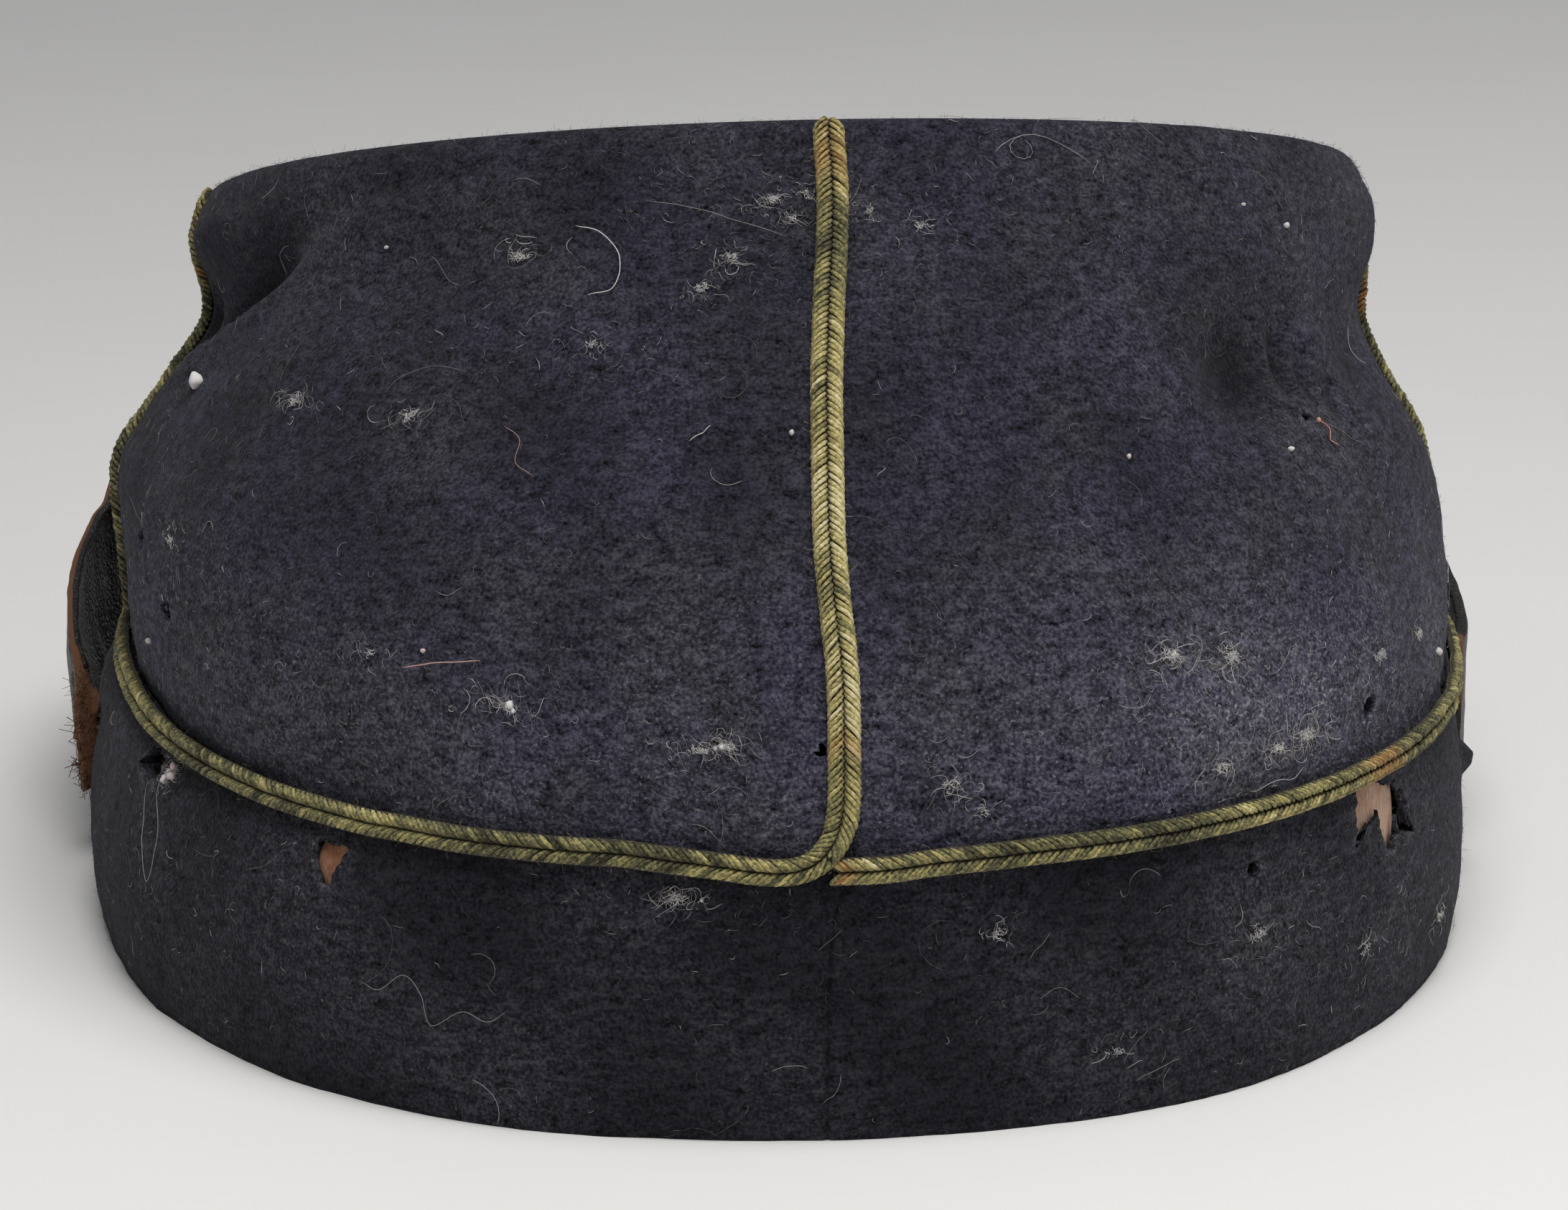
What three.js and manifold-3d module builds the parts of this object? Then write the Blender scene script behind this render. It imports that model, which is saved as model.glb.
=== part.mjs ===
// A worn wool kepi cap standing on its rim: back towards -Y, peak towards +Y, +Z up, millimetres.
// Angles run from the middle of the back (0) towards +X (90), the front (180) and -X (270 or -90).
import * as THREE from 'three';
import { mergeVertices } from 'three/addons/utils/BufferGeometryUtils.js';
import Module from 'manifold-3d';

// Driving dimensions
const GAP = 0.3;
const WOOL = 2.0;
const STIFFENER = 1.2;
const SEAM_HEIGHT = 31.5;
const CROWN_START = SEAM_HEIGHT + GAP / 2;
const BAND_SEAM_ANGLE = 0.5;
const CROWN_SEAM_ANGLE = 0.9;
const TOP_THICKNESS = 2.0;
const BRAID_WIDTH = 4.2;
const BRAID_THICKNESS = 1.5;
const BRAID_SEAT = 0.35;
const BRAID_SEAM_SEAT = 1.2;
const STRAP_WIDTH = 16;
const STRAP_THICKNESS = 1.6;
const STRAP_FRONT_HEIGHT = 46;
const STRAP_FRONT_STANDOFF = 3.8;
const PEAK_REACH = 40;
const PEAK_END_REACH = 1.5;
const PEAK_HALF_ANGLE = 58;
const PEAK_THICKNESS = 2.4;
const PEAK_SEAM_HEIGHT = 4.2;
const PEAK_TIP_HEIGHT = 0.4;

// How finely the skins are divided
const STEP_ANGLE = 5;
const FRONT_STEP_ANGLE = 7.5;
const CROWN_LEVELS = [0, 9, 18, 28, 38, 47, 55, 62, 68, 74, 80, 86, 91, 96, 100];
const BAND_HEIGHTS = [0, 5, 12, 18, 24, 28, SEAM_HEIGHT - GAP / 2];

// Upright band, outer skin: place, half width, half length and squareness of the oval at each height; the
// worn cap leans a little to +X above the rim
const BAND_SECTIONS = [
  { at: 0, x: 0, halfWidth: 84.0, halfLength: 98.0, power: 2.27 },
  { at: 12, x: 0, halfWidth: 84.8, halfLength: 98.0, power: 2.24 },
  { at: 24, x: 0.6, halfWidth: 83.5, halfLength: 97.5, power: 2.18 },
  { at: SEAM_HEIGHT, x: 2.4, halfWidth: 81.2, halfLength: 97.0, power: 2.14 },
];

// Crown, outer skin: tilted ovals from the band seam (0) to the top seam (100); tilt lowers the front,
// roll lifts the +X side
const CROWN_SECTIONS = [
  { at: 0, x: 2.4, y: 0, z: CROWN_START, halfWidth: 81.2, back: 97, front: 97, power: 2.14, tilt: 0, roll: 0 },
  { at: 18, x: 1.1, y: 2, z: 42, halfWidth: 81.0, back: 95, front: 95, power: 2.12, tilt: 3, roll: 0 },
  { at: 40, x: 0.3, y: 7, z: 52.5, halfWidth: 80.8, back: 88.5, front: 91, power: 2.08, tilt: 8, roll: 0 },
  { at: 55, x: 1, y: 11, z: 59.2, halfWidth: 76.5, back: 84, front: 87.5, power: 2.05, tilt: 11, roll: 0.1 },
  { at: 68, x: 2.2, y: 15, z: 65.2, halfWidth: 74.5, back: 80, front: 83.5, power: 2.02, tilt: 13.2, roll: 0.3 },
  { at: 82, x: 3.3, y: 19.5, z: 71.5, halfWidth: 73.4, back: 76.6, front: 79, power: 2, tilt: 15, roll: 0.5 },
  { at: 93, x: 3, y: 23, z: 76.8, halfWidth: 73.9, back: 74.3, front: 75.5, power: 2, tilt: 16.6, roll: 0.6 },
  { at: 100, x: 2.6, y: 24, z: 80.2, halfWidth: 72.7, back: 72, front: 72, power: 2, tilt: 17.2, roll: 0.6 },
];

// Slumped folds in the crown: depth inwards, fading out over the two spreads; slant is levels per degree
const CROWN_FOLDS = [
  { angle: -90, level: 73, depth: 1.9, angleSpread: 40, levelSpread: 9.5, slant: 0.12 },
  { angle: 84, level: 70, depth: 2.3, angleSpread: 38, levelSpread: 11, slant: 0 },
];

// Moth holes and tears: place on the skin and outline in millimetres along the skin and up it
const BAND_HOLES = [
  { angle: -40.2, height: 26.4, outline: [[-3.2, 1.4], [1.6, -2.6], [2.3, 2]] },
  { angle: -65.2, height: 27.2, outline: [[-3.4, 0.2], [-1, -1.4], [2, -1], [3.4, 0.5], [1, 1.3], [-2, 1.2]] },
  {
    angle: 51.8,
    height: 24.6,
    outline: [[-5.6, 0], [-4.6, -3], [0, -4.2], [3, -3.4], [5.8, -0.4], [5, 3], [-5, 3]],
  },
];
const CROWN_HOLES = [
  { angle: -64.5, level: 20.0, outline: [[-1.5, -0.4], [0.2, -1.1], [1.5, 0.2], [0.8, 1.2], [-0.8, 0.8]] },
  { angle: 50.5, level: 8.5, outline: [[-1.4, -0.6], [0.6, -1.1], [1.6, 0.2], [0.2, 1.1], [-1.2, 0.7]] },
];

// Braid across its width and out from the cloth: two cords with a groove between them
const BRAID_SECTION = [
  [-BRAID_WIDTH / 2, 0], [BRAID_WIDTH / 2, 0], [BRAID_WIDTH / 2, 0.6],
  [BRAID_WIDTH / 4, BRAID_THICKNESS], [0, 0.9], [-BRAID_WIDTH / 4, BRAID_THICKNESS], [-BRAID_WIDTH / 2, 0.6],
];
const STRAP_SECTION = [
  [-STRAP_WIDTH / 2, 0], [STRAP_WIDTH / 2, 0],
  [STRAP_WIDTH / 2, STRAP_THICKNESS], [-STRAP_WIDTH / 2, STRAP_THICKNESS],
];

// The long braid leaves the seam on its way back to the middle of the back and turns up there
const BRAID_START = 0.9;
const BRAID_TURN = [
  [355.2, 0], [357.4, 0.6], [358.9, 2.2], [359.9, 5.2], [360.5, 8.6], [360.9, 13], [361.3, 18],
  [361.4, 24], [361.2, 31], [361.1, 38], [361.1, 47], [360.9, 55], [360.6, 62], [360.5, 68],
  [360.3, 74], [360.3, 80], [360.5, 86], [360.9, 91], [361.0, 96], [361.2, 99],
];
const SIDE_BRAID_START = 5;
const FRONT_BRAID_START = 9;
const BRAID_TOP = 99;

// Chin strap, middle of its inner face, from each sewn end round to the front of the crown
const STRAP_LEFT = [
  [-85.1, 6, 15.4], [-86.2, 12, 17.0], [-87.2, 20, 19.4], [-87.5, 29, 22.0],
  [-86.7, 38, 24.4], [-83.8, 48, 27.6], [-75.8, 62, 35.4],
];
const STRAP_RIGHT = [
  [85.5, 2, 19.4], [86.9, 7, 19.9], [87.6, 13, 20.6], [87.6, 20, 21.8],
  [86.9, 28.5, 23.8], [84.9, 38, 26.6], [81.0, 48, 29.6], [73.6, 62, 37.0],
];
const STRAP_FRONT_ANGLES = [212, 201, 190, 180, 170, 159, 148];
const STRAP_STEPS = 64;

const rad = THREE.MathUtils.degToRad;
const wasm = await Module();
wasm.setup();

// Smooth curve through a table's rows: every column at one place
function blend(table, at) {
  const last = table.length - 1;
  let i = 0;
  while (i < last - 1 && at > table[i + 1].at) i += 1;
  const slope = (k, key) => {
    const before = table[Math.max(k - 1, 0)];
    const after = table[Math.min(k + 1, last)];
    return (after[key] - before[key]) / (after.at - before.at);
  };
  const [a, b] = [table[i], table[i + 1]];
  const span = b.at - a.at;
  const t = (at - a.at) / span;
  const row = {};
  for (const key of Object.keys(a)) {
    const rise = span * slope(i, key) * (t - 2 * t ** 2 + t ** 3);
    const fall = span * slope(i + 1, key) * (t ** 3 - t ** 2);
    row[key] = a[key] + (b[key] - a[key]) * (3 * t ** 2 - 2 * t ** 3) + rise + fall;
  }
  return row;
}

// Point of a slightly squared oval, flat at z = 0
function oval(angle, halfWidth, back, front, power) {
  const s = Math.sin(rad(angle));
  const c = Math.cos(rad(angle));
  const k = (Math.abs(s) ** power + Math.abs(c) ** power) ** (-1 / power);
  return new THREE.Vector3(halfWidth * s * k, -(c > 0 ? back : front) * c * k, 0);
}

function bandPoint(angle, height) {
  const row = blend(BAND_SECTIONS, height);
  const flat = oval(angle, row.halfWidth, row.halfLength, row.halfLength, row.power);
  return flat.add(new THREE.Vector3(row.x, 0, height));
}

function foldDepth(angle, level) {
  let depth = 0;
  for (const fold of CROWN_FOLDS) {
    const away = THREE.MathUtils.euclideanModulo(angle - fold.angle + 180, 360) - 180;
    const rise = level - fold.level - fold.slant * away;
    depth += fold.depth * Math.exp(-((away / fold.angleSpread) ** 2) - (rise / fold.levelSpread) ** 2);
  }
  return depth;
}

function crownPoint(angle, level) {
  const row = blend(CROWN_SECTIONS, level);
  const depth = foldDepth(angle, level);
  const flat = oval(angle, row.halfWidth - depth, row.back - depth, row.front - depth, row.power);
  const turn = new THREE.Euler(-rad(row.tilt), -rad(row.roll), 0);
  return flat.applyEuler(turn).add(new THREE.Vector3(row.x, row.y, row.z));
}

// The whole outside in one: below 0 it is millimetres down the band, above 0 it is levels up the crown
function shellPoint(angle, rise) {
  return rise < 0 ? bandPoint(angle, SEAM_HEIGHT + rise) : crownPoint(angle, rise);
}

// Outward normal of a skin at one place
function normalOf(skin, angle, rise, reach = 0.5) {
  const along = skin(angle + 0.5, rise).sub(skin(angle - 0.5, rise));
  const up = skin(angle, rise + reach).sub(skin(angle, rise - reach));
  return along.cross(up).normalize();
}

function bandOffset(angle, height, distance) {
  const clamped = THREE.MathUtils.clamp(height, 0.5, SEAM_HEIGHT - 0.5);
  const normal = normalOf(bandPoint, angle, clamped).setZ(0).normalize();
  return bandPoint(angle, height).addScaledVector(normal, distance);
}

function crownOffset(angle, level, distance) {
  const normal = normalOf(crownPoint, angle, THREE.MathUtils.clamp(level, 0.5, 99.5));
  // The lower edge is cut level with the band's top edge
  normal.z *= Math.min(1, level / 20);
  return crownPoint(angle, level).addScaledVector(normal.normalize(), distance);
}

function solidGeometry(points, triangles) {
  const geometry = new THREE.BufferGeometry();
  const positions = points.flatMap((p) => [p.x, p.y, p.z]);
  geometry.setAttribute('position', new THREE.Float32BufferAttribute(positions, 3));
  geometry.setIndex(triangles);
  return geometry;
}

// Closed sheet between two grids of points, rows going up and columns going round
function sheetGeometry(outer, inner, wraps = false) {
  const rows = outer.length;
  const cols = outer[0].length;
  const out = (r, c) => r * cols + (c % cols);
  const inn = (r, c) => rows * cols + out(r, c);
  const triangles = [];
  const quad = (a, b, c, d) => triangles.push(a, b, c, a, c, d);
  const lastCell = wraps ? cols : cols - 1;
  for (let c = 0; c < lastCell; c += 1) {
    for (let r = 0; r < rows - 1; r += 1) {
      quad(out(r, c), out(r, c + 1), out(r + 1, c + 1), out(r + 1, c));
      quad(inn(r, c), inn(r + 1, c), inn(r + 1, c + 1), inn(r, c + 1));
    }
    quad(out(0, c), inn(0, c), inn(0, c + 1), out(0, c + 1));
    quad(out(rows - 1, c), out(rows - 1, c + 1), inn(rows - 1, c + 1), inn(rows - 1, c));
  }
  for (let r = 0; r < rows - 1 && !wraps; r += 1) {
    quad(out(r, 0), out(r + 1, 0), inn(r + 1, 0), inn(r, 0));
    quad(out(r, cols - 1), inn(r, cols - 1), inn(r + 1, cols - 1), out(r + 1, cols - 1));
  }
  return solidGeometry([...outer.flat(), ...inner.flat()], triangles);
}

// A section of [across, out] points carried along places that each have a point and an outward normal
function sweepGeometry(section, places) {
  const count = section.length;
  const points = [];
  places.forEach((place, i) => {
    const before = places[Math.max(i - 1, 0)].point;
    const after = places[Math.min(i + 1, places.length - 1)].point;
    const along = after.clone().sub(before).normalize();
    const out = place.normal.clone().addScaledVector(along, -place.normal.dot(along)).normalize();
    const across = out.clone().cross(along);
    for (const [u, h] of section) {
      points.push(place.point.clone().addScaledVector(across, u).addScaledVector(out, h));
    }
  });
  const triangles = [];
  for (let i = 0; i < places.length - 1; i += 1) {
    for (let j = 0; j < count; j += 1) {
      const a = i * count + j;
      const b = i * count + ((j + 1) % count);
      triangles.push(a, b, b + count, a, b + count, a + count);
    }
  }
  const contour = section.map(([u, h]) => new THREE.Vector2(u, h));
  const lastRing = (places.length - 1) * count;
  for (const [a, b, c] of THREE.ShapeUtils.triangulateShape(contour, [])) {
    triangles.push(a, c, b, lastRing + a, lastRing + b, lastRing + c);
  }
  return solidGeometry(points, triangles);
}

// Geometry to solid and back, for the torn openings
function toManifold(geometry) {
  const bare = geometry.clone();
  bare.deleteAttribute('normal');
  bare.deleteAttribute('uv');
  const merged = mergeVertices(bare, 1e-4);
  const vertProperties = new Float32Array(merged.attributes.position.array);
  const triVerts = new Uint32Array(merged.index.array);
  return new wasm.Manifold(new wasm.Mesh({ numProp: 3, vertProperties, triVerts }));
}

function toGeometry(solid) {
  const mesh = solid.getMesh();
  const geometry = new THREE.BufferGeometry();
  geometry.setAttribute('position', new THREE.BufferAttribute(new Float32Array(mesh.vertProperties), 3));
  geometry.setIndex(new THREE.BufferAttribute(new Uint32Array(mesh.triVerts), 1));
  return geometry;
}

// A prism of the hole's outline, driven in through the skin
function holeCutter(point, normal, outline) {
  const depth = 3 * WOOL;
  const shape = new THREE.Shape(outline.map(([u, h]) => new THREE.Vector2(u, h)));
  const geometry = new THREE.ExtrudeGeometry(shape, { depth, bevelEnabled: false });
  const out = normal.clone().normalize();
  const along = new THREE.Vector3(0, 0, 1).cross(out).normalize();
  const up = out.clone().cross(along);
  const frame = new THREE.Matrix4().makeBasis(along, up, out);
  frame.setPosition(point.clone().addScaledVector(out, -depth * 0.7));
  return geometry.applyMatrix4(frame);
}

function cutHoles(geometry, cutters) {
  let solid = toManifold(geometry);
  for (const cutter of cutters) solid = solid.subtract(toManifold(cutter));
  return toGeometry(solid);
}

function range(first, last, step) {
  const count = Math.round((last - first) / step);
  return Array.from({ length: count + 1 }, (_, i) => first + ((last - first) * i) / count);
}

// The band is one strip of cloth whose two ends meet at the back
function bandGeometry() {
  const seam = THREE.MathUtils.radToDeg(GAP / 2 / BAND_SECTIONS[0].halfLength);
  const angles = range(0, 360, STEP_ANGLE);
  angles[0] = BAND_SEAM_ANGLE + seam;
  angles[angles.length - 1] = 360 + BAND_SEAM_ANGLE - seam;
  const skin = (distance) => BAND_HEIGHTS.map((h) => angles.map((a) => bandOffset(a, h, distance)));
  const cutters = BAND_HOLES.map(({ angle, height, outline }) => (
    holeCutter(bandPoint(angle, height), normalOf(bandPoint, angle, height), outline)));
  return cutHoles(sheetGeometry(skin(0), skin(-WOOL)), cutters);
}

function stiffenerGeometry() {
  const angles = range(0, 360 - STEP_ANGLE, STEP_ANGLE);
  const heights = [0.8, 12, 22, SEAM_HEIGHT - 0.8];
  const depth = WOOL + GAP;
  const skin = (distance) => heights.map((h) => angles.map((a) => bandOffset(a, h, distance)));
  return sheetGeometry(skin(-depth), skin(-depth - STIFFENER), true);
}

// One crown panel between two seams
function panelGeometry(first, last, step) {
  const seam = THREE.MathUtils.radToDeg(GAP * 0.6 / CROWN_SECTIONS[7].halfWidth);
  const angles = range(first, last, step);
  angles[0] += seam;
  angles[angles.length - 1] -= seam;
  const skin = (distance) => CROWN_LEVELS.map((v) => angles.map((a) => crownOffset(a, v, distance)));
  const holes = CROWN_HOLES.filter(({ angle }) => angle > first && angle < last);
  const cutters = holes.map(({ angle, level, outline }) => (
    holeCutter(crownPoint(angle, level), normalOf(crownPoint, angle, level), outline)));
  const sheet = sheetGeometry(skin(0), skin(-WOOL));
  return cutters.length ? cutHoles(sheet, cutters) : sheet;
}

// The round top lies on the crown's upper edge
function topGeometry() {
  const radius = CROWN_SECTIONS[7].back;
  const upper = GAP + TOP_THICKNESS;
  const profile = [
    [0, GAP], [radius, GAP], [radius + 0.3, GAP + 0.7], [radius - 0.5, upper], [0, upper],
  ].map(([r, h]) => new THREE.Vector2(r, h));
  return new THREE.LatheGeometry(profile, 64).rotateX(Math.PI / 2);
}

// Places along the outside for a braid to follow
function braidPlaces(route, seat) {
  return route.map(([angle, rise]) => {
    const normal = rise < 3
      ? normalOf(shellPoint, angle, rise, 2)
      : normalOf(crownPoint, angle, Math.min(rise, 99.4));
    const lift = seat(rise);
    return { point: shellPoint(angle, rise).addScaledVector(normal, lift), normal };
  });
}

function longBraidGeometry() {
  const ring = range(STEP_ANGLE, 350, STEP_ANGLE).map((angle) => [angle, 0]);
  const route = [[BRAID_START, 0], ...ring, ...BRAID_TURN];
  const seat = (rise) => THREE.MathUtils.mapLinear(Math.min(rise, 10), 0, 10, BRAID_SEAM_SEAT, BRAID_SEAT);
  return sweepGeometry(BRAID_SECTION, braidPlaces(route, seat));
}

function uprightBraidGeometry(angle, start) {
  const rises = [start, ...CROWN_LEVELS.filter((v) => v > start + 3 && v < BRAID_TOP), BRAID_TOP];
  return sweepGeometry(BRAID_SECTION, braidPlaces(rises.map((rise) => [angle, rise]), () => BRAID_SEAT));
}

// The crown's outer point at a given height, by halving
function crownAtHeight(angle, height) {
  let [low, high] = [0, 100];
  for (let i = 0; i < 30; i += 1) {
    const middle = (low + high) / 2;
    if (crownPoint(angle, middle).z < height) low = middle;
    else high = middle;
  }
  return crownOffset(angle, low, STRAP_FRONT_STANDOFF).setZ(height);
}

function strapGeometry() {
  const toVector = ([x, y, z]) => new THREE.Vector3(x, y, z);
  const front = STRAP_FRONT_ANGLES.map((angle) => crownAtHeight(angle, STRAP_FRONT_HEIGHT));
  const route = [...STRAP_LEFT.map(toVector), ...front, ...STRAP_RIGHT.map(toVector).reverse()];
  const curve = new THREE.CatmullRomCurve3(route, false, 'centripetal');
  const up = new THREE.Vector3(0, 0, 1);
  const places = range(0, 1, 1 / STRAP_STEPS).map((t) => {
    const normal = up.clone().cross(curve.getTangentAt(t)).normalize();
    return { point: curve.getPointAt(t), normal };
  });
  return sweepGeometry(STRAP_SECTION, places);
}

// Crescent of leather standing out from the front of the band
function peakGeometry() {
  const angles = range(180 - PEAK_HALF_ANGLE, 180 + PEAK_HALF_ANGLE, STEP_ANGLE * 1.16);
  const steps = [1, 0.75, 0.5, 0.25, 0];
  const skin = (lift) => steps.map((t) => angles.map((angle) => {
    const side = Math.abs(angle - 180) / PEAK_HALF_ANGLE;
    const swell = Math.max(0, Math.cos(side * Math.PI / 2)) ** 1.1;
    const reach = PEAK_END_REACH + (PEAK_REACH - PEAK_END_REACH) * swell;
    const height = THREE.MathUtils.lerp(PEAK_SEAM_HEIGHT, PEAK_TIP_HEIGHT, t * reach / PEAK_REACH) + lift;
    return bandOffset(angle, PEAK_SEAM_HEIGHT + PEAK_THICKNESS, GAP + 0.1 + t * reach).setZ(height);
  }));
  return sheetGeometry(skin(PEAK_THICKNESS), skin(0));
}

const materials = {
  wool: new THREE.MeshStandardMaterial({ color: 0x2f2e3a, roughness: 0.95, metalness: 0 }),
  darkWool: new THREE.MeshStandardMaterial({ color: 0x242328, roughness: 0.95, metalness: 0 }),
  braid: new THREE.MeshStandardMaterial({ color: 0x766f52, roughness: 0.85, metalness: 0 }),
  leather: new THREE.MeshStandardMaterial({ color: 0x282623, roughness: 0.5, metalness: 0 }),
  stiffener: new THREE.MeshStandardMaterial({ color: 0x8e7560, roughness: 0.9, metalness: 0 }),
};

const cap = new THREE.Group();

function addPiece(name, geometry, material) {
  const mesh = new THREE.Mesh(geometry, material);
  mesh.name = name;
  cap.add(mesh);
  return mesh;
}

addPiece('band', bandGeometry(), materials.darkWool);
addPiece('band_stiffener', stiffenerGeometry(), materials.stiffener);
addPiece('crown_back_right', panelGeometry(CROWN_SEAM_ANGLE, 90, STEP_ANGLE), materials.wool);
addPiece('crown_front_right', panelGeometry(90, 180, FRONT_STEP_ANGLE), materials.wool);
addPiece('crown_front_left', panelGeometry(-180, -90, FRONT_STEP_ANGLE), materials.wool);
addPiece('crown_back_left', panelGeometry(-90, CROWN_SEAM_ANGLE, STEP_ANGLE), materials.wool);

const topSection = CROWN_SECTIONS[CROWN_SECTIONS.length - 1];
const top = addPiece('crown_top', topGeometry(), materials.wool);
top.position.set(topSection.x, topSection.y, topSection.z);
top.rotation.set(-rad(topSection.tilt), -rad(topSection.roll), 0);
top.scale.x = topSection.halfWidth / topSection.back;

addPiece('braid_band_back', longBraidGeometry(), materials.braid);
addPiece('braid_right', uprightBraidGeometry(90, SIDE_BRAID_START), materials.braid);
addPiece('braid_left', uprightBraidGeometry(-90, SIDE_BRAID_START), materials.braid);
addPiece('braid_front', uprightBraidGeometry(180, FRONT_BRAID_START), materials.braid);
addPiece('chin_strap', strapGeometry(), materials.leather);
addPiece('peak', peakGeometry(), materials.leather);

// The origin is on the floor under the middle of the whole cap, peak included
cap.position.y = -(PEAK_REACH + GAP) / 2;
const root = new THREE.Group();
root.add(cap);

export default root;
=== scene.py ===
# %% [markdown]
# A worn wool kepi, seen from the back. The imported solids give every piece its size and place, and this
# lesson lays the real surfaces over them: felted cloth, corded braid, cracked leather, and the lint and
# moth holes of an old cap. First the frame comes in.

# %% Load the frame
import math

import bpy
import numpy as np
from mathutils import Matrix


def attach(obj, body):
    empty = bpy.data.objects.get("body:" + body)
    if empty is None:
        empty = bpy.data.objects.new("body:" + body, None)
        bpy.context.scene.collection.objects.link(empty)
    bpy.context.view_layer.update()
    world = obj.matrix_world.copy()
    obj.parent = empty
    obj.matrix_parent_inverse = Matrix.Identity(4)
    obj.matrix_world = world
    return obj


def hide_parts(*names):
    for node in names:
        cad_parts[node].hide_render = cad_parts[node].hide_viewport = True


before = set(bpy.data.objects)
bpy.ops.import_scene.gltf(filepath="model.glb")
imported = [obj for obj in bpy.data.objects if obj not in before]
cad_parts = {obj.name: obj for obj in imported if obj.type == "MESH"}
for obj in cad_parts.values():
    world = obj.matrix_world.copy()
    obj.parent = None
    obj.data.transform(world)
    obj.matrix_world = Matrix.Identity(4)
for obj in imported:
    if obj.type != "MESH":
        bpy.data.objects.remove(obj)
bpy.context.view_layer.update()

# %% [markdown]
# The cap was modelled in millimetres from a few short tables of ovals, with angles that run from the
# middle of the back (0) towards the right (90), the front (180) and the left (-90). Repeating the tables
# lets the same surfaces be divided as finely as cloth needs. A smooth curve through the rows is enough,
# because cloth on a stiffened band bends slowly.

# %% Sizes in millimetres
MM = 0.001
GAP = 0.3
WOOL = 2.0
STIFFENER = 1.2
SEAM_HEIGHT = 31.5
PEAK_REACH = 40.0
BOX_CENTRE_Y = (PEAK_REACH + GAP) / 2

# Columns: height, x, half width, half length, squareness
BAND_SECTIONS = np.array([
    [0.0, 0.0, 84.0, 98.0, 2.27],
    [12.0, 0.0, 84.8, 98.0, 2.24],
    [24.0, 0.6, 83.5, 97.5, 2.18],
    [SEAM_HEIGHT, 2.4, 81.2, 97.0, 2.14],
])
# The crown's levels run from 0 at the band seam to the top seam
TOP_LEVEL = 100
# Columns: level, x, y, z, half width, back, front, squareness, tilt, roll
CROWN_SECTIONS = np.array([
    [0, 2.4, 0.0, SEAM_HEIGHT + GAP / 2, 81.2, 97.0, 97.0, 2.14, 0.0, 0.0],
    [18, 1.1, 2.0, 42.0, 81.0, 95.0, 95.0, 2.12, 3.0, 0.0],
    [40, 0.3, 7.0, 52.5, 80.8, 88.5, 91.0, 2.08, 8.0, 0.0],
    [55, 1.0, 11.0, 59.2, 76.5, 84.0, 87.5, 2.05, 11.0, 0.1],
    [68, 2.2, 15.0, 65.2, 74.5, 80.0, 83.5, 2.02, 13.2, 0.3],
    [82, 3.3, 19.5, 71.5, 73.4, 76.6, 79.0, 2.00, 15.0, 0.5],
    [93, 3.0, 23.0, 76.8, 73.9, 74.3, 75.5, 2.00, 16.6, 0.6],
    [TOP_LEVEL, 2.6, 24.0, 80.2, 72.7, 72.0, 72.0, 2.00, 17.2, 0.6],
])
# Above that the cloth turns over the edge of the round top. Columns: level, inwards, up
TOP_EDGE = np.array([
    [TOP_LEVEL, 0.0, 0.0], [101.5, 0.35, 1.0], [103, 0.8, 1.8], [104.5, 1.5, 2.45], [106, 2.5, 2.85],
    [108, 4.2, 3.1], [111, 6.8, 3.15],
])
CROWN_END = TOP_EDGE[-1, 0]
# Columns: angle, level, depth, spread in degrees, spreads below and above, slant in levels a degree
CROWN_FOLDS = np.array([
    [-90, 73, 1.9, 40, 9.5, 9.5, 0.12],
    [84, 70, 2.3, 38, 11, 11, 0.0],
])
print("the crown has", len(CROWN_SECTIONS), "sections, the band", len(BAND_SECTIONS))

# %% [markdown]
# Two helpers turn those tables into surfaces: one reads a table anywhere between its rows, the other
# gives a point on an oval that may be a little square and may be longer at the front than at the back.

# %% Smooth tables and ovals


def blend(table, at):
    """Every other column of a table, on a smooth curve through its rows."""
    stops, rows = table[:, 0], table[:, 1:]
    slopes = np.gradient(rows, stops, axis=0)
    slopes[1:-1] = (rows[2:] - rows[:-2]) / (stops[2:] - stops[:-2])[:, None]
    i = np.clip(np.searchsorted(stops, at, side="right") - 1, 0, len(stops) - 2)
    span = (stops[i + 1] - stops[i])[..., None]
    t = (at - stops[i])[..., None] / span
    ease = 3 * t**2 - 2 * t**3
    bow = span * (slopes[i] * (t - 2 * t**2 + t**3) + slopes[i + 1] * (t**3 - t**2))
    return rows[i] + (rows[i + 1] - rows[i]) * ease + bow


def oval(angle, half_width, back, front, power):
    """Flat point of a slightly squared oval."""
    s, c = np.sin(np.radians(angle)), np.cos(np.radians(angle))
    k = (np.abs(s) ** power + np.abs(c) ** power) ** (-1 / power)
    return half_width * s * k, -np.where(c > 0, back, front) * c * k


print("the band is", 2 * blend(BAND_SECTIONS, np.array(0.0))[1], "mm wide at its rim")

# %% [markdown]
# A skin is a function from an angle and a rise to a point. Everything that lies on the cap later, holes,
# braid and lint alike, is placed through these few functions, so it all follows the same shape.

# %% Band and crown skins


def band_skin(angle, height):
    """Outside of the upright band."""
    angle, height = np.broadcast_arrays(np.asarray(angle, float), np.asarray(height, float))
    x0, half_width, half_length, power = np.moveaxis(blend(BAND_SECTIONS, height), -1, 0)
    x, y = oval(angle, half_width, half_length, half_length, power)
    return np.stack([x0 + x, y, height], -1)


def turned(angle, middle):
    """How far an angle is from another one, the short way round."""
    return (angle - middle + 180) % 360 - 180


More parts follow.
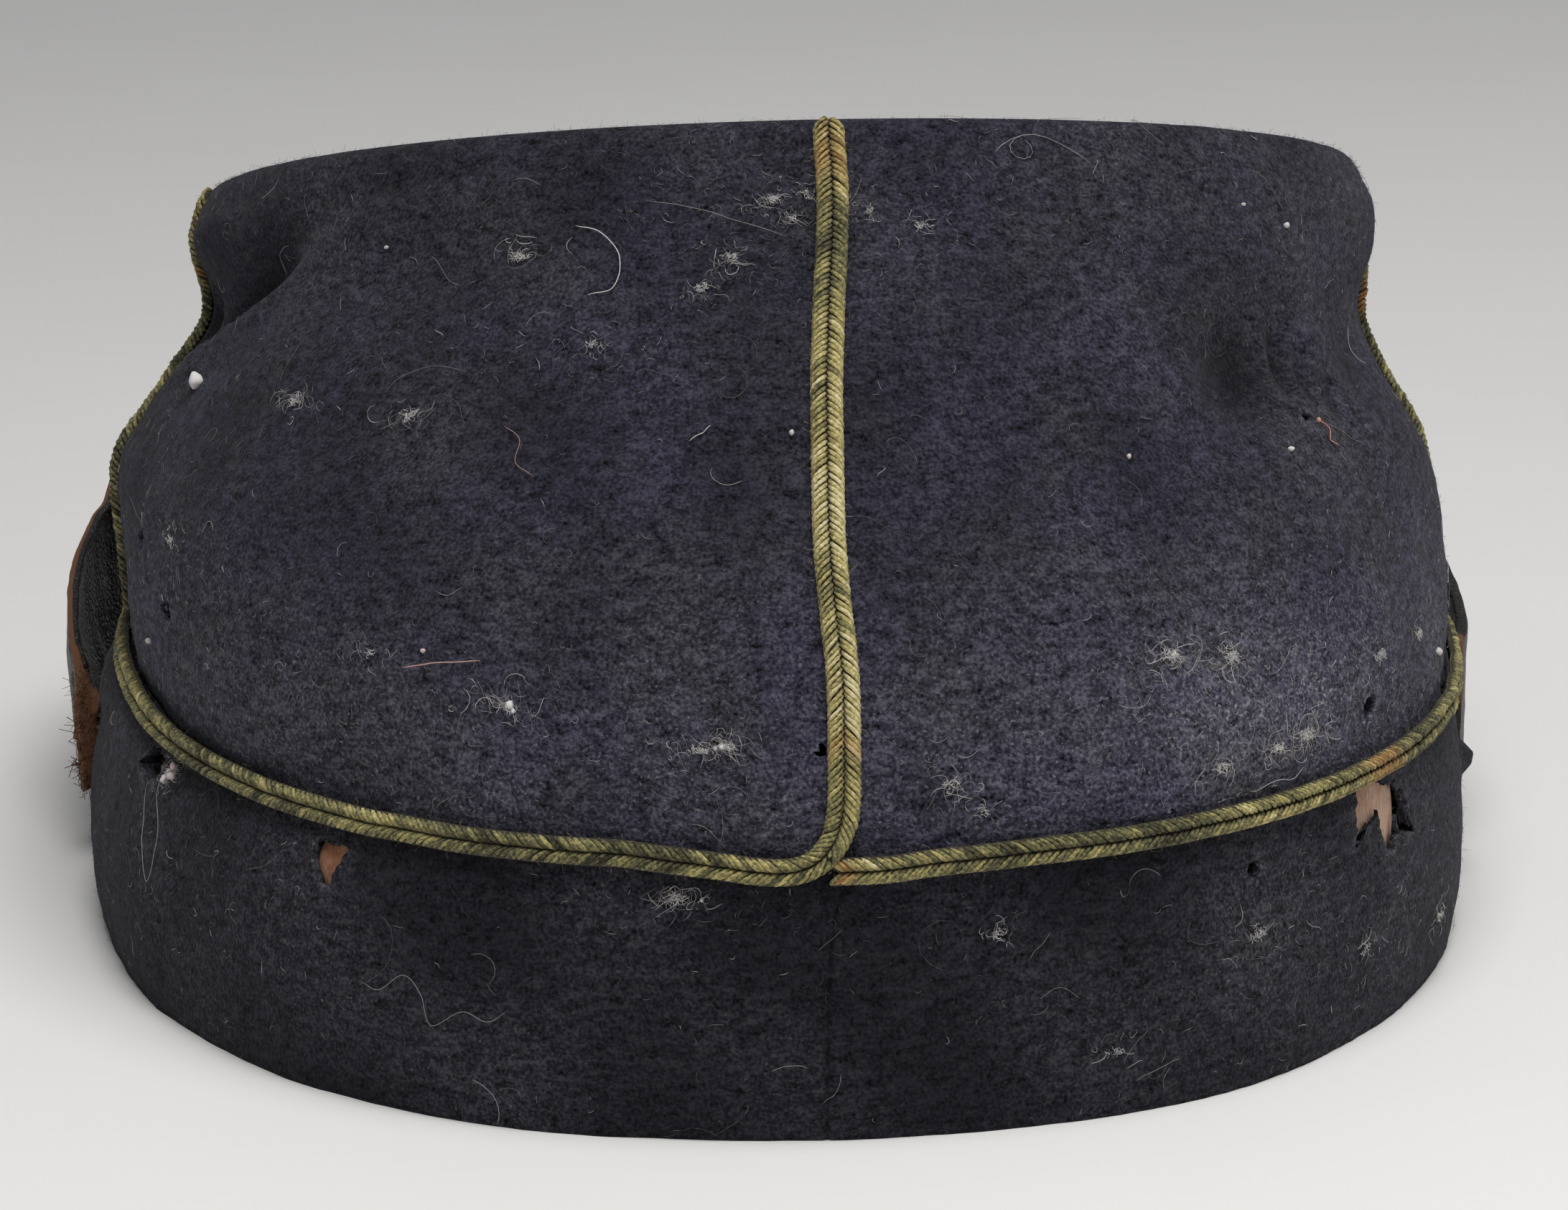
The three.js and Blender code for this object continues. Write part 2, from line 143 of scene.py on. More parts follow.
def near(away, spread, other=0.0, other_spread=1.0):
    """1 at a place, about a third one spread away from it; a second distance may count too."""
    return np.exp(-(away / spread) ** 2 - (other / other_spread) ** 2)


def fold_depth(folds, angle, level):
    """How far a table of folds sinks the cloth."""
    depth = np.zeros(np.broadcast(angle, level).shape)
    for middle, rise, deep, degrees, below, above, slant in folds:
        away = turned(angle, middle)
        off = level - rise - slant * away
        off = off / np.where(off < 0, below, above)
        depth = depth + deep * near(away, degrees, off)
    return depth


def crown_skin(angle, level):
    """Outside of the crown: the band seam is 0, the top seam 100, and beyond that the turned edge."""
    angle, level = np.broadcast_arrays(np.asarray(angle, float), np.asarray(level, float))
    side = np.clip(level, 0, TOP_LEVEL)
    x0, y0, z0, half_width, back, front, power, tilt, roll = np.moveaxis(blend(CROWN_SECTIONS, side), -1, 0)
    inwards = fold_depth(CROWN_FOLDS, angle, side) + np.interp(level, TOP_EDGE[:, 0], TOP_EDGE[:, 1])
    lifted = np.interp(level, TOP_EDGE[:, 0], TOP_EDGE[:, 2])
    x, y = oval(angle, half_width - inwards, back - inwards, front - inwards, power)
    tilt, roll = np.radians(tilt), np.radians(roll)
    risen = x * np.sin(roll) + lifted * np.cos(roll)
    y, z = y * np.cos(tilt) + risen * np.sin(tilt), risen * np.cos(tilt) - y * np.sin(tilt)
    return np.stack([x0 + x * np.cos(roll), y0 + y, z0 + z], -1)


def shell_skin(angle, rise):
    """Band and crown in one: below 0 it is millimetres down the band, above 0 levels up the crown."""
    angle, rise = np.broadcast_arrays(np.asarray(angle, float), np.asarray(rise, float))
    low = band_skin(angle, SEAM_HEIGHT + np.minimum(rise, 0))
    return np.where((rise < 0)[..., None], low, crown_skin(angle, np.maximum(rise, 0)))


print("crown edge at the back", np.round(crown_skin(0, TOP_LEVEL), 1), "mm")

# %% [markdown]
# Cloth has thickness and things stand on it, so the way out of a skin is needed too. It is measured from
# two short steps over the skin, which saves writing a formula for every surface.

# %% Outward directions


def unit(vectors):
    return vectors / np.maximum(np.linalg.norm(vectors, axis=-1, keepdims=True), 1e-9)


def normal_of(skin, angle, rise, low, high, reach=0.5):
    """Outward normal of a skin whose rise runs from low to high."""
    rise = np.clip(rise, low + reach, high - reach)
    along = skin(angle + 0.5, rise) - skin(angle - 0.5, rise)
    up = skin(angle, rise + reach) - skin(angle, rise - reach)
    return unit(np.cross(along, up))


def band_normal(angle, height):
    """Level outward normal of the band."""
    return unit(normal_of(band_skin, angle, height, 0, SEAM_HEIGHT) * [1, 1, 0])


def crown_normal(angle, level):
    return normal_of(crown_skin, angle, level, 0, CROWN_END)


print("way out at the back of the crown", np.round(crown_normal(0, 50), 2))

# %% [markdown]
# The camera stands where the photographer stood: behind the cap, a little to its left, looking down about
# sixteen degrees through a long lens. It comes early, because every later choice of fineness depends on
# how close it looks. The lens is worked out from the picture's width in pixels, with no shift.

# %% Camera at the photograph's angle
PICTURE_WIDTH = 2184
FOCAL_PIXELS = 8381
CAMERA_AZIMUTH = -3.2
CAMERA_ELEVATION = 16.0
CAMERA_DISTANCE = 750.0
AIM = np.array([1.4, 0.0, 33.65])


def place(points):
    """Cap millimetres to the frame's metres."""
    return (np.asarray(points, float) - [0, BOX_CENTRE_Y, 0]) * MM


turn, climb = math.radians(CAMERA_AZIMUTH), math.radians(CAMERA_ELEVATION)
backwards = np.array([math.sin(turn) * math.cos(climb), -math.cos(turn) * math.cos(climb), math.sin(climb)])
camera_data = bpy.data.cameras.new("camera")
camera_data.sensor_width = 36.0
camera_data.lens = camera_data.sensor_width * FOCAL_PIXELS / PICTURE_WIDTH
camera_data.clip_start = 0.01
camera = bpy.data.objects.new("camera", camera_data)
camera.location = place(AIM + backwards * CAMERA_DISTANCE)
camera.rotation_euler = (math.pi / 2 - climb, 0, turn)
bpy.context.collection.objects.link(camera)
bpy.context.scene.camera = camera
print("lens", round(camera_data.lens, 1), "mm, camera at", [round(v, 3) for v in camera.location])

# %% [markdown]
# Every finish below is a small graph of shader nodes. Writing the sums as Python keeps them readable: a
# Signal wraps one node socket and turns + - and * into Math nodes, and a Finish makes any other node from
# its type, its settings and what goes into its sockets.

# %% Shader signals


class Signal:
    """One output socket of a shader node, usable in sums."""

    def __init__(self, finish, socket):
        self.finish = finish
        self.socket = socket

    def sum(self, operation, first, second):
        return self.finish.node("ShaderNodeMath", {"operation": operation}, {0: first, 1: second})

    def __add__(self, other):
        return self.sum("ADD", self, other)

    def __radd__(self, other):
        return self.sum("ADD", other, self)

    def __sub__(self, other):
        return self.sum("SUBTRACT", self, other)

    def __rsub__(self, other):
        return self.sum("SUBTRACT", other, self)

    def __mul__(self, other):
        return self.sum("MULTIPLY", self, other)

    def __rmul__(self, other):
        return self.sum("MULTIPLY", other, self)


print("sums are written with", Signal.__name__)

# %% [markdown]
# A Finish starts from the plain Principled shader and adds what cloth, braid and leather have in common:
# coordinates, noise of a stated size, smooth steps, colour mixes, painted values and a bump.

# %% Finishes


class Finish:
    """One material, built node by node."""

    def __init__(self, name, roughness=0.9, sheen=0.0, specular=0.5):
        self.material = bpy.data.materials.new(name)
        self.material.use_nodes = True
        self.tree = self.material.node_tree
        self.shader = self.tree.nodes["Principled BSDF"]
        self.shader.inputs["Roughness"].default_value = roughness
        self.shader.inputs["Sheen Weight"].default_value = sheen
        self.shader.inputs["Specular IOR Level"].default_value = specular

    def node(self, kind, settings=None, sockets=None, output=0):
        """Any shader node: its type, its settings, then values or signals for its sockets."""
        made = self.tree.nodes.new(kind)
        for key, value in (settings or {}).items():
            if key == "stops":
                for _ in range(len(value) - 2):
                    made.color_ramp.elements.new(0.5)
                for element, (position, colour) in zip(made.color_ramp.elements, value):
                    element.position = position
                    element.color = (*colour, 1)
            else:
                setattr(made, key, value)
        for key, value in (sockets or {}).items():
            if isinstance(value, Signal):
                self.tree.links.new(value.socket, made.inputs[key])
            elif isinstance(value, tuple) and made.inputs[key].type == "RGBA":
                made.inputs[key].default_value = (*value, 1)
            else:
                made.inputs[key].default_value = value
        return Signal(self, made.outputs[output])

    def where(self, stretch=(1, 1, 1), tilt=(0, 0, 0)):
        """The piece's own coordinates, in metres, stretched and turned."""
        raw = self.node("ShaderNodeTexCoord", output="Object")
        return self.node("ShaderNodeMapping", {}, {"Vector": raw, "Scale": stretch, "Rotation": tilt})

    def noise(self, size_mm, detail=2.0, where=None):
        """Cloudy noise whose lumps are about size_mm across."""
        sockets = {"Vector": where or self.where(), "Scale": 1000 / size_mm}
        sockets.update({"Detail": detail, "Roughness": 0.55})
        return self.node("ShaderNodeTexNoise", {}, sockets)

    def ease(self, value, low, high):
        """0 below low, 1 above high, smooth between."""
        ends = {"Value": value, "From Min": low, "From Max": high}
        return self.node("ShaderNodeMapRange", {"interpolation_type": "SMOOTHSTEP"}, ends)

    def mix(self, factor, first, second):
        """A colour between two colours."""
        return self.node("ShaderNodeMix", {"data_type": "RGBA"}, {0: factor, 6: first, 7: second}, output=2)

    def scaled(self, colour, factor):
        """A colour made brighter or darker."""
        return self.node("ShaderNodeVectorMath", {"operation": "SCALE"}, {0: colour, "Scale": factor})

    def painted(self, name):
        """A number stored at each of the piece's vertices."""
        return self.node("ShaderNodeAttribute", {"attribute_name": name}, output="Fac")

    def bump(self, height, depth_mm, strength=1.0):
        sockets = {"Height": height, "Distance": depth_mm * MM, "Strength": strength}
        self.feed("Normal", self.node("ShaderNodeBump", {}, sockets))

    def feed(self, socket, value):
        self.tree.links.new(value.socket, self.shader.inputs[socket])


def from_screen(red, green, blue):
    """A colour read off a screen (0 to 255) as the linear light a shader wants."""
    return tuple(((v / 255 + 0.055) / 1.055) ** 2.4 for v in (red, green, blue))


print("finishes are written with", Finish.__name__)

# %% [markdown]
# The cloth is fulled wool: a weave beaten until its fibres mat over it. Old navy dye goes uneven, so the
# colour drifts between blue, charcoal and a rubbed grey in patches about as wide as a thumb, with a fine
# matted grain over it. A painted value mixes in a near-black as painted shade in creases and beside the
# braids, along with the dark stitched line of the band's back seam, and another scatters pale dust, as
# specks and a thin veil, because dust on felt hangs on single fibres. Grain feeds the bump; anything
# larger is modelled.

# %% Wool finish
NAVY = from_screen(47, 46, 59)
CHARCOAL = from_screen(46, 45, 52)
RUBBED = from_screen(52, 51, 56)
DUST = from_screen(174, 171, 174)
# A near-black for painted shade: the painted shade value mixes the cloth towards it in creases and beside the
# braids
SHADE_BLACK = from_screen(10, 10, 13)
# Sizes of the marks in millimetres
PATCH_SIZE, RUB_SIZE = 17, 12
GRAIN_SIZE, LUMP_SIZE, WEAVE_SIZE, SPECK_SIZE = 0.42, 1.5, 1.1, 0.5
GRAIN_DEPTH = 0.6


def wool_finish(name, brightness, faded):
    finish = Finish(name, roughness=0.95, sheen=0.04, specular=0.1)
    patch = finish.ease(finish.noise(PATCH_SIZE, 4) + faded, 0.3, 0.7)
    rub = finish.ease(finish.noise(RUB_SIZE, 4, finish.where(tilt=(0.4, 0.2, 0.9))), 0.5, 0.75)
    fine = finish.noise(GRAIN_SIZE, 3)
    coarse = finish.noise(LUMP_SIZE, 3, finish.where(stretch=(0.8, 0.8, 1.5), tilt=(0.3, 0.2, 0.5)))
    weave = finish.noise(WEAVE_SIZE, 1, finish.where(stretch=(0.4, 0.4, 1.3)))
    fibre = fine * 0.55 + coarse * 0.35 + weave * 0.1
    colour = finish.mix(rub * 0.6, finish.mix(patch, NAVY, CHARCOAL), RUBBED)
    dust = finish.painted("dust")
    colour = finish.scaled(colour, (fibre * 6.5 - 2.25) * (dust * 1.9 + 0.74) * brightness)
    speck = finish.ease(finish.noise(SPECK_SIZE, 2, finish.where(tilt=(1, 2, 3))) + dust * 0.09, 0.66, 0.76)
    veil = dust * finish.ease(fibre, 0.48, 0.62) * 0.16
    colour = finish.mix(speck * dust * 0.5 + veil, colour, DUST)
    # Painted shade: the cloth is darkened towards near-black wherever its painted shade value says
    finish.feed("Base Color", finish.mix(finish.painted("shade"), colour, SHADE_BLACK))
    finish.bump(fibre, GRAIN_DEPTH, 0.9)
    return finish.material


crown_wool = wool_finish("crown_wool", brightness=0.89, faded=0.0)
band_wool = wool_finish("band_wool", brightness=0.72, faded=0.25)
print("wool finishes", crown_wool.name, band_wool.name)

# %% [markdown]
# All the cloth pieces are the same kind of thing: a sheet with an outer and an inner skin, closed at its
# edges, sometimes with holes. A grid of points gives the outer skin and its offset the inner one. A hole
# is made by sliding the grid points inside its outline out to that outline and leaving out the cells that
# collapse, so a moth hole gets a ragged rim instead of a staircase.

# %% Meshes


def make_piece(name, points_mm, faces, material, slot, **painted):
    """A smooth mesh piece from cap millimetres, with painted values at its vertices."""
    mesh = bpy.data.meshes.new(name)
    mesh.from_pydata(place(points_mm).tolist(), [], faces if isinstance(faces, list) else faces.tolist())
    for key, values in painted.items():
        layer = mesh.attributes.new(key, "FLOAT", "POINT")
        layer.data.foreach_set("value", np.asarray(values, np.float32).ravel())
    mesh.polygons.foreach_set("use_smooth", np.ones(len(mesh.polygons), bool))
    mesh.materials.append(material)
    mesh.update()
    piece = bpy.data.objects.new(name, mesh)
    bpy.context.collection.objects.link(piece)
    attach(piece, "root")
    print(name, len(mesh.vertices), "points,", len(mesh.polygons), "faces")
    return piece


def grid_cells(rows, cols, wraps=False):
    """Corner numbers of every cell of a grid of points, as rows by columns by 4."""
    r, c = np.meshgrid(np.arange(rows - 1), np.arange(cols if wraps else cols - 1), indexing="ij")
    right = (c + 1) % cols
    return np.stack([r * cols + c, r * cols + right, (r + 1) * cols + right, (r + 1) * cols + c], -1)


def end_caps(rows, cols):
    """Two faces that close the first and the last row of a grid that wraps."""
    return [list(range(cols))[::-1], list(range((rows - 1) * cols, rows * cols))]


print("a grid of 3 by 4 points has", grid_cells(3, 4).reshape(-1, 4).shape[0], "cells")

# %% [markdown]
# A sheet needs a rim wherever its cells end: at its borders and round its holes. Comparing each cell with
# its four neighbours finds all of these edges at once.

# %% Sheets and holes
RIM_WIDTH = 0.8


def sheet_piece(name, outer, inner, material, slot, keep=None, wraps=False, **painted):
    """A closed sheet between two grids of points; keep says which cells are cloth."""
    rows, cols = outer.shape[:2]
    corners = grid_cells(rows, cols, wraps)
    keep = np.ones(corners.shape[:2], bool) if keep is None else keep
    under = rows * cols
    faces = [corners[keep], corners[keep][:, ::-1] + under]
    # Where a cell has no neighbour, a rim joins the two skins
    padded = np.pad(keep, 1)
    if wraps:
        padded[1:-1, 0], padded[1:-1, -1] = keep[:, -1], keep[:, 0]
    below, right, above, left = padded[:-2, 1:-1], padded[1:-1, 2:], padded[2:, 1:-1], padded[1:-1, :-2]
    for side, neighbour in enumerate((below, right, above, left)):
        edge = corners[keep & ~neighbour]
        a, b = edge[:, side], edge[:, (side + 1) % 4]
        faces.append(np.stack([b, a, a + under, b + under], -1))
    used, faces = np.unique(np.concatenate(faces), return_inverse=True)
    points = np.concatenate([outer.reshape(-1, 3), inner.reshape(-1, 3)])[used]
    values = {key: np.tile(np.asarray(value).ravel(), 2)[used] for key, value in painted.items()}
    return make_piece(name, points, faces.reshape(-1, 4), material, slot, **values)


def open_holes(skin, angles, rises, holes):
    """Slides grid points out of each hole; returns the grid, the cells that stay, and nearness to a rim."""
    angle, rise = np.meshgrid(angles, rises)
    gone = np.zeros(angle.shape, bool)
    rim = np.zeros(angle.shape)
    for middle, height, outline in holes:
        per_angle = np.linalg.norm(skin(middle + 0.5, height) - skin(middle - 0.5, height))
        per_rise = np.linalg.norm(skin(middle, height + 0.5) - skin(middle, height - 0.5))
        u, h = turned(angle, middle) * per_angle, (rise - height) * per_rise
        outline = np.array(outline, float)
        bearing = np.arctan2(outline[:, 1], outline[:, 0])
        order = np.argsort(bearing)
        theta = np.arctan2(h, u)
        reach = np.interp(theta, bearing[order], np.hypot(*outline.T)[order], period=2 * math.pi)
        reach = reach * (1 + 0.1 * np.sin(7 * theta + middle) + 0.07 * np.sin(13 * theta + height))
        away = np.hypot(u, h)
        inside = away < reach
        push = np.where(inside, reach / np.maximum(away, 1e-6), 1)
        angle = np.where(inside, middle + u * push / per_angle, angle)
        rise = np.where(inside, height + h * push / per_rise, rise)
        gone |= inside
        rim = np.maximum(rim, near(np.maximum(away - reach, 0), RIM_WIDTH))
    keep = ~(gone[:-1, :-1] & gone[1:, :-1] & gone[:-1, 1:] & gone[1:, 1:])
    return angle, rise, keep, rim


square = ((-1, -1), (1, -1), (1, 1), (-1, 1))
tried = open_holes(band_skin, np.linspace(-2, 2, 9), np.linspace(10, 14, 9), [(0, 12, square)])
print("a hole 2 mm wide takes", int((~tried[2]).sum()), "of", tried[2].size, "cells of a small grid")

# %% [markdown]
# Two more helpers finish the tools for cloth. Close grid lines are spent only where a hole or a seam is,
# and a sum of a few random waves gives cloth its unevenness, the same on every run because its seed is
# fixed.

# %% Closer grids and waviness


def refined(stops, places, reach, step):
    """Grid stops with closer ones added around some places."""
    closer = [np.arange(place - reach, place + reach, step) for place in places]
    stops = np.unique(np.round(np.concatenate([stops] + closer), 3))
    return stops[np.append(True, np.diff(stops) > 0.4 * step)]


def ripple(points, wavelength, seed, count=14):
    """Smooth random waviness, about -1 to 1, the same on every run."""
    chance = np.random.default_rng(seed)
    heading = unit(chance.normal(size=(count, 3))) * 2 * math.pi / wavelength
    heading *= chance.uniform(0.7, 1.4, (count, 1))
    phase = chance.uniform(0, 2 * math.pi, count)
    return np.cos(points @ heading.T + phase).sum(-1) / math.sqrt(count)


def waves(points, table):
    """Several ripples together; a table's columns are height, wavelength and seed."""
    return sum(height * ripple(points, wavelength, seed) for height, wavelength, seed in table)


print("waviness at one place", round(float(ripple(np.zeros(3), 10, 1)), 2))

# %% [markdown]
# The band is one strip of wool round the head, its ends sewn together at the back. Moths and wear have
# opened it below the braid: a three-cornered tear at the left, a hole beside the braid further round, and
# on the right a tear with two legs and a black gap beside them. On the left side the cloth puffs out
# under the seam, and on the right, under the strap's end, it is pushed into a small pucker. Each place is
# an angle and a height; outlines are millimetres along and up. The grid is closer where the tears and the
# back seam are.

# %% Band holes and wear
# Columns: angle, height, outline of [along, up]
BAND_HOLES = (
    (-40.7, 26.6, ((-3.0, 1.2), (-1.8, -0.2), (-0.4, -1.4), (1.4, -3.3), (1.8, -0.6), (2.2, 1.8), (0, 1.5))),
    (-65.4, 27.2, ((-3.0, -0.8), (-0.8, -2.0), (1.8, -1.6), (3.4, 0.4), (1.2, 1.9), (-1.6, 1.8))),
    (49.0, 26.8, (
        (-3.4, 2.4), (-3.2, 0), (-2.9, -3.4), (-1.7, -2.9), (-0.4, -1.4), (1.6, -1.2), (3.2, 0.4), (3.0, 3.4),
    )),
    (52.0, 25.0, ((-2.6, 2.6), (-1.9, -0.7), (-0.7, -3.6), (0.5, -5.0), (1.6, -3.6), (2.0, 0), (1.9, 3.6))),
    (54.6, 23.9, (
        (-1.5, 3.4), (-1.6, 0), (-0.8, -2.5), (1.5, -3.0), (4.0, -3.2), (2.0, -1.2), (0.8, 1.4), (-0.1, 3.6),
    )),
    (35.0, 25.5, ((-1.1, -0.4), (0.2, -0.9), (1.1, 0.3), (-0.2, 0.8))),
)
# Where the wool is worn thin and the stiffener pushes up into the tear: angle, height, millimetres
WORN_THROUGH = ((51.0, 25.5, 9.0), (-40.0, 26.0, 6.0))
# Columns: height, wavelength, seed
BAND_WAVES = ((0.3, 36, 3), (0.1, 9, 4), (0.04, 3.2, 5))
BAND_SEAM_ANGLE = 0.5
PUCKER_ANGLE, PUCKER_HEIGHT = 84.5, 15.6
PUFF_ANGLE, PUFF_HEIGHT = -93.0, 27.6
SIDE_MM_PER_DEGREE = 1.55
# The right side is drawn in at the seam: angle, degrees, millimetres
WAIST_ANGLE, WAIST_SPREAD, WAIST_DEPTH = 87.0, 17.0, 1.3
print("the band has", len(BAND_HOLES), "holes")

# %% [markdown]
# Relief is how far the cloth stands out from its plain shape. It is a sum of gentle waves and a few
# particular marks, and it also says how dark each crease is, because deep creases in dark wool hold
# hardly any light.

# %% Band relief


def worn_through(angle, height):
    """1 at the torn places, fading to 0 over the sound cloth."""
    worn = 0
    for middle, rise, spread in WORN_THROUGH:
        away = np.hypot(turned(angle, middle) * SIDE_MM_PER_DEGREE, height - rise) / spread
        worn = np.maximum(worn, np.clip(1.6 - 1.6 * away, 0, 1))
    return worn


def band_relief(angle, height, points):
    """How far the band's cloth stands out from its plain shape, and how dark its creases are."""
    beside_seam = turned(angle, BAND_SEAM_ANGLE) * SIDE_MM_PER_DEGREE
    seam = near(beside_seam, 0.32)
    stitch = 0.45 + 0.55 * np.cos(2 * math.pi * height / 2.6 + 1.5 * np.sin(height * 0.9))
    pinch = near(SEAM_HEIGHT - height, 2.4)
    beside = turned(angle, PUCKER_ANGLE)
    pucker = near(beside, 2.6, height - PUCKER_HEIGHT, 2.0)
    tuck = near(beside, 4, height - PUCKER_HEIGHT - 4.2, 1.3)
    puff = near(turned(angle, PUFF_ANGLE), 20, height - PUFF_HEIGHT, 3.0)
    lift = waves(points, BAND_WAVES) * (1 - 0.6 * pinch) - 0.35 * seam * stitch
    lift = lift + 2.6 * pucker - 0.6 * tuck + 1.7 * puff
    waist = near(turned(angle, WAIST_ANGLE), WAIST_SPREAD, SEAM_HEIGHT - height, 6)
    lift = lift - 0.4 * near(height, 1.6) - WAIST_DEPTH * waist
    # Painted shade darkens the pinch under the seam's braid and the tuck; the back seam's stitched line is a
    # real dark line
    shade = np.clip(0.95 * seam * np.maximum(stitch, 0.4) + 0.3 * pinch + 0.4 * tuck, 0, 0.9)
    return lift, shade


print("the band is worn through at", len(WORN_THROUGH), "places")

# %% [markdown]
# Now the band can be built: a grid of angles and heights, opened at the holes, pushed out by the relief,
# and thinned where the wool has worn through. Dust gathers towards both sides and round the holes.

# %% Band cloth
band_angles = refined(np.linspace(-180, 180, 541)[:-1], (52, -40.5, -65.4, 35), 5, 0.3)
band_angles = refined(band_angles, (BAND_SEAM_ANGLE,), 0.7, 0.12)
band_top = SEAM_HEIGHT - GAP / 2
band_heights = np.concatenate([[0, 0.5, 1.1], np.linspace(2, 17, 15), np.linspace(17.7, band_top, 24)])
angle, height, keep, rim = open_holes(band_skin, band_angles, band_heights, BAND_HOLES)
keep = np.concatenate([keep, np.ones((len(keep), 1), bool)], 1)
height = np.clip(height, 0, band_top)
plain = band_skin(angle, height)
lift, shade = band_relief(angle, height, plain)
thick = WOOL - 1.45 * worn_through(angle, height)
dust = 0.14 + 0.14 * ripple(plain, 28, 7) + 0.4 * np.clip(turned(angle, 0) / 50 - 0.6, 0, 0.6) + 0.3 * rim
dust = np.clip(dust + 0.15 * np.clip(-angle / 50 - 0.8, 0, 0.6), 0, 1)
band = sheet_piece(
    "band_cloth", plain + band_normal(angle, height) * lift[..., None],
    plain + band_normal(angle, height) * np.minimum(lift - 0.4, -thick)[..., None],
    band_wool, "band_wool", keep, wraps=True, dust=dust, shade=shade,
)
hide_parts("band")

# %% [markdown]
# Behind the tears a stiffener shows: a thin tan strip, dry and fibrous, that keeps the band upright. It
# runs all the way round, so it is a plain sheet inside the band, bulging into the places where the wool
# has worn through. Beside the right-hand tear it is torn too, which makes the black gap there. Its fibres
# run upright in the torn patch, so the noise is stretched that way.

# %% Stiffener
TAN = from_screen(205, 170, 146)
RUST = from_screen(150, 96, 68)


def stiffener_finish():
    finish = Finish("stiffener", roughness=0.9, sheen=0.1, specular=0.2)
    threads = finish.noise(0.6, 3, finish.where(stretch=(2.0, 2.0, 0.35)))
    stain = finish.ease(finish.noise(5, 3), 0.45, 0.65)
    colour = finish.mix(stain * 0.4 + finish.painted("rust") * 0.6, TAN, RUST)
    finish.feed("Base Color", finish.scaled(colour, threads * 1.1 + 0.4))
    finish.bump(threads, 0.3, 0.7)
    return finish.material


# Columns: angle, height, outline of [along, up]
STIFFENER_HOLES = (
    (56.2, 23.4, ((-2.8, 4.2), (-2.5, 0.5), (-2.4, -3.0), (1.0, -3.4), (4.4, -3.2), (3.0, 0.8), (0.6, 4.4))),
    (-43.0, 27.4, ((-2.0, 1.6), (-1.6, -1.6), (0.6, -1.0), (1.2, 0.6), (0.4, 1.6))),
    (-66.4, 27.0, ((-2.6, -1.4), (0, -2.4), (2.4, -1.4), (2.6, 1.2), (0, 2.2), (-2.4, 1.4))),
)
# Only where it shows through the tears is it divided finely
at_tears = [np.arange(first, last, 0.5) for first, last in ((-71, -61), (-47, -37), (45, 63))]
stiff_angles = np.unique(np.concatenate([np.linspace(-180, 180, 121)[:-1]] + at_tears))
stiff_heights = np.linspace(0.8, SEAM_HEIGHT - 0.8, 30)
angle, height, keep, rim = open_holes(band_skin, stiff_angles, stiff_heights, STIFFENER_HOLES)
keep = np.concatenate([keep, np.ones((len(keep), 1), bool)], 1)
plain = band_skin(angle, height)
sunk = WOOL + GAP - 1.4 * worn_through(angle, height) + 0.08 * ripple(plain, 6, 11)
stiffener = sheet_piece(
    "band_stiffening", plain - band_normal(angle, height) * sunk[..., None],
    plain - band_normal(angle, height) * (WOOL + GAP + STIFFENER),
    stiffener_finish(), "stiffener", keep, wraps=True, rust=near(turned(angle, -40), 9),
)
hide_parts("band_stiffener")

# %% [markdown]
# The crown is four panels of the same wool, seamed at the back, the sides and the front. Worn soft, it
# has slumped: the sides fold in below the top and roll out again in two lobes. The big folds are in the
# solids; this table adds the sharper creases that the light picks out, with a short side below each
# crease line and a long one above it where the cloth overhangs. Cloth is drawn in where braid is sewn on,
# so panels dip there.

# %% Crown creases and holes
# Columns: angle, level, depth, spread in degrees, spreads below and above, slant in levels a degree
CREASES = np.array([
    [-72, 71, 4.4, 13, 1.6, 7.5, 0.92],
    [-71, 67, -1.0, 14, 4, 3.5, 0.92],
    [-83.5, 71, 2.4, 3.6, 9, 11, 0.0],
    [-77, 93, -0.8, 12, 5, 5, 0.0],
    [-50, 93, 0.6, 12, 4, 5, 0.3],
    [43, 61, 3.2, 7, 9, 10, 0.0],
    [47.4, 63, -0.6, 1.6, 7, 8, 0.0],
    [49.6, 63, 1.5, 1.3, 6, 6, -0.8],
    [52.8, 59, 1.6, 1.3, 5, 6, -0.8],
    [56.0, 56, 1.4, 1.5, 5, 5, -0.8],
    [63, 62, 1.6, 6, 9, 9, 0.0],
    [82.0, 68, 3.4, 4.6, 8, 9, 0.0],
    [46, 80, -0.8, 12, 8, 8, 0.0],
    [-30, 58, 0.8, 22, 10, 10, 0.2],
    [26, 48, 0.8, 20, 12, 12, -0.25],
    [-14, 30, -0.6, 16, 12, 12, 0.0],
    [20, 22, -0.5, 18, 10, 10, 0.0],
])
# Columns: angle, level, outline of [along, up]
CROWN_HOLES = (
    (-64.5, 20.0, ((-1.7, -0.7), (0.2, -1.3), (1.8, 0.5), (1.0, 1.4), (-1.0, 0.7))),
    (-70.0, 29.5, ((-0.8, -1.6), (0.5, -0.5), (0.8, 1.5), (-0.4, 1.0))),
    (50.5, 8.5, ((-1.7, -0.8), (0.8, -1.2), (1.9, 0.3), (0.3, 1.3), (-1.3, 0.8))),
    (-0.9, 14.4, ((-0.7, -0.1), (-0.2, -0.4), (0.5, -0.6), (0.7, 0.4), (0.2, 1.0), (-0.3, 0.3))),
    (50.2, 52.8, ((-0.9, 0.5), (0.1, -0.4), (1.1, -0.7), (0.1, 0.4))),
    (26.8, 3.0, ((-0.5, -0.2), (0.3, -0.3), (0.6, 0.2), (-0.3, 0.3))),
)
# Painted shade, where shadow falls beside the two side braids and on the left lobe: angle, level, their
# spreads, how dark
CROWN_SHADES = ((-86.6, 70, 2, 10, 0.65), (87, 68, 2, 10, 0.65), (-77, 88, 10, 10, 0.25))
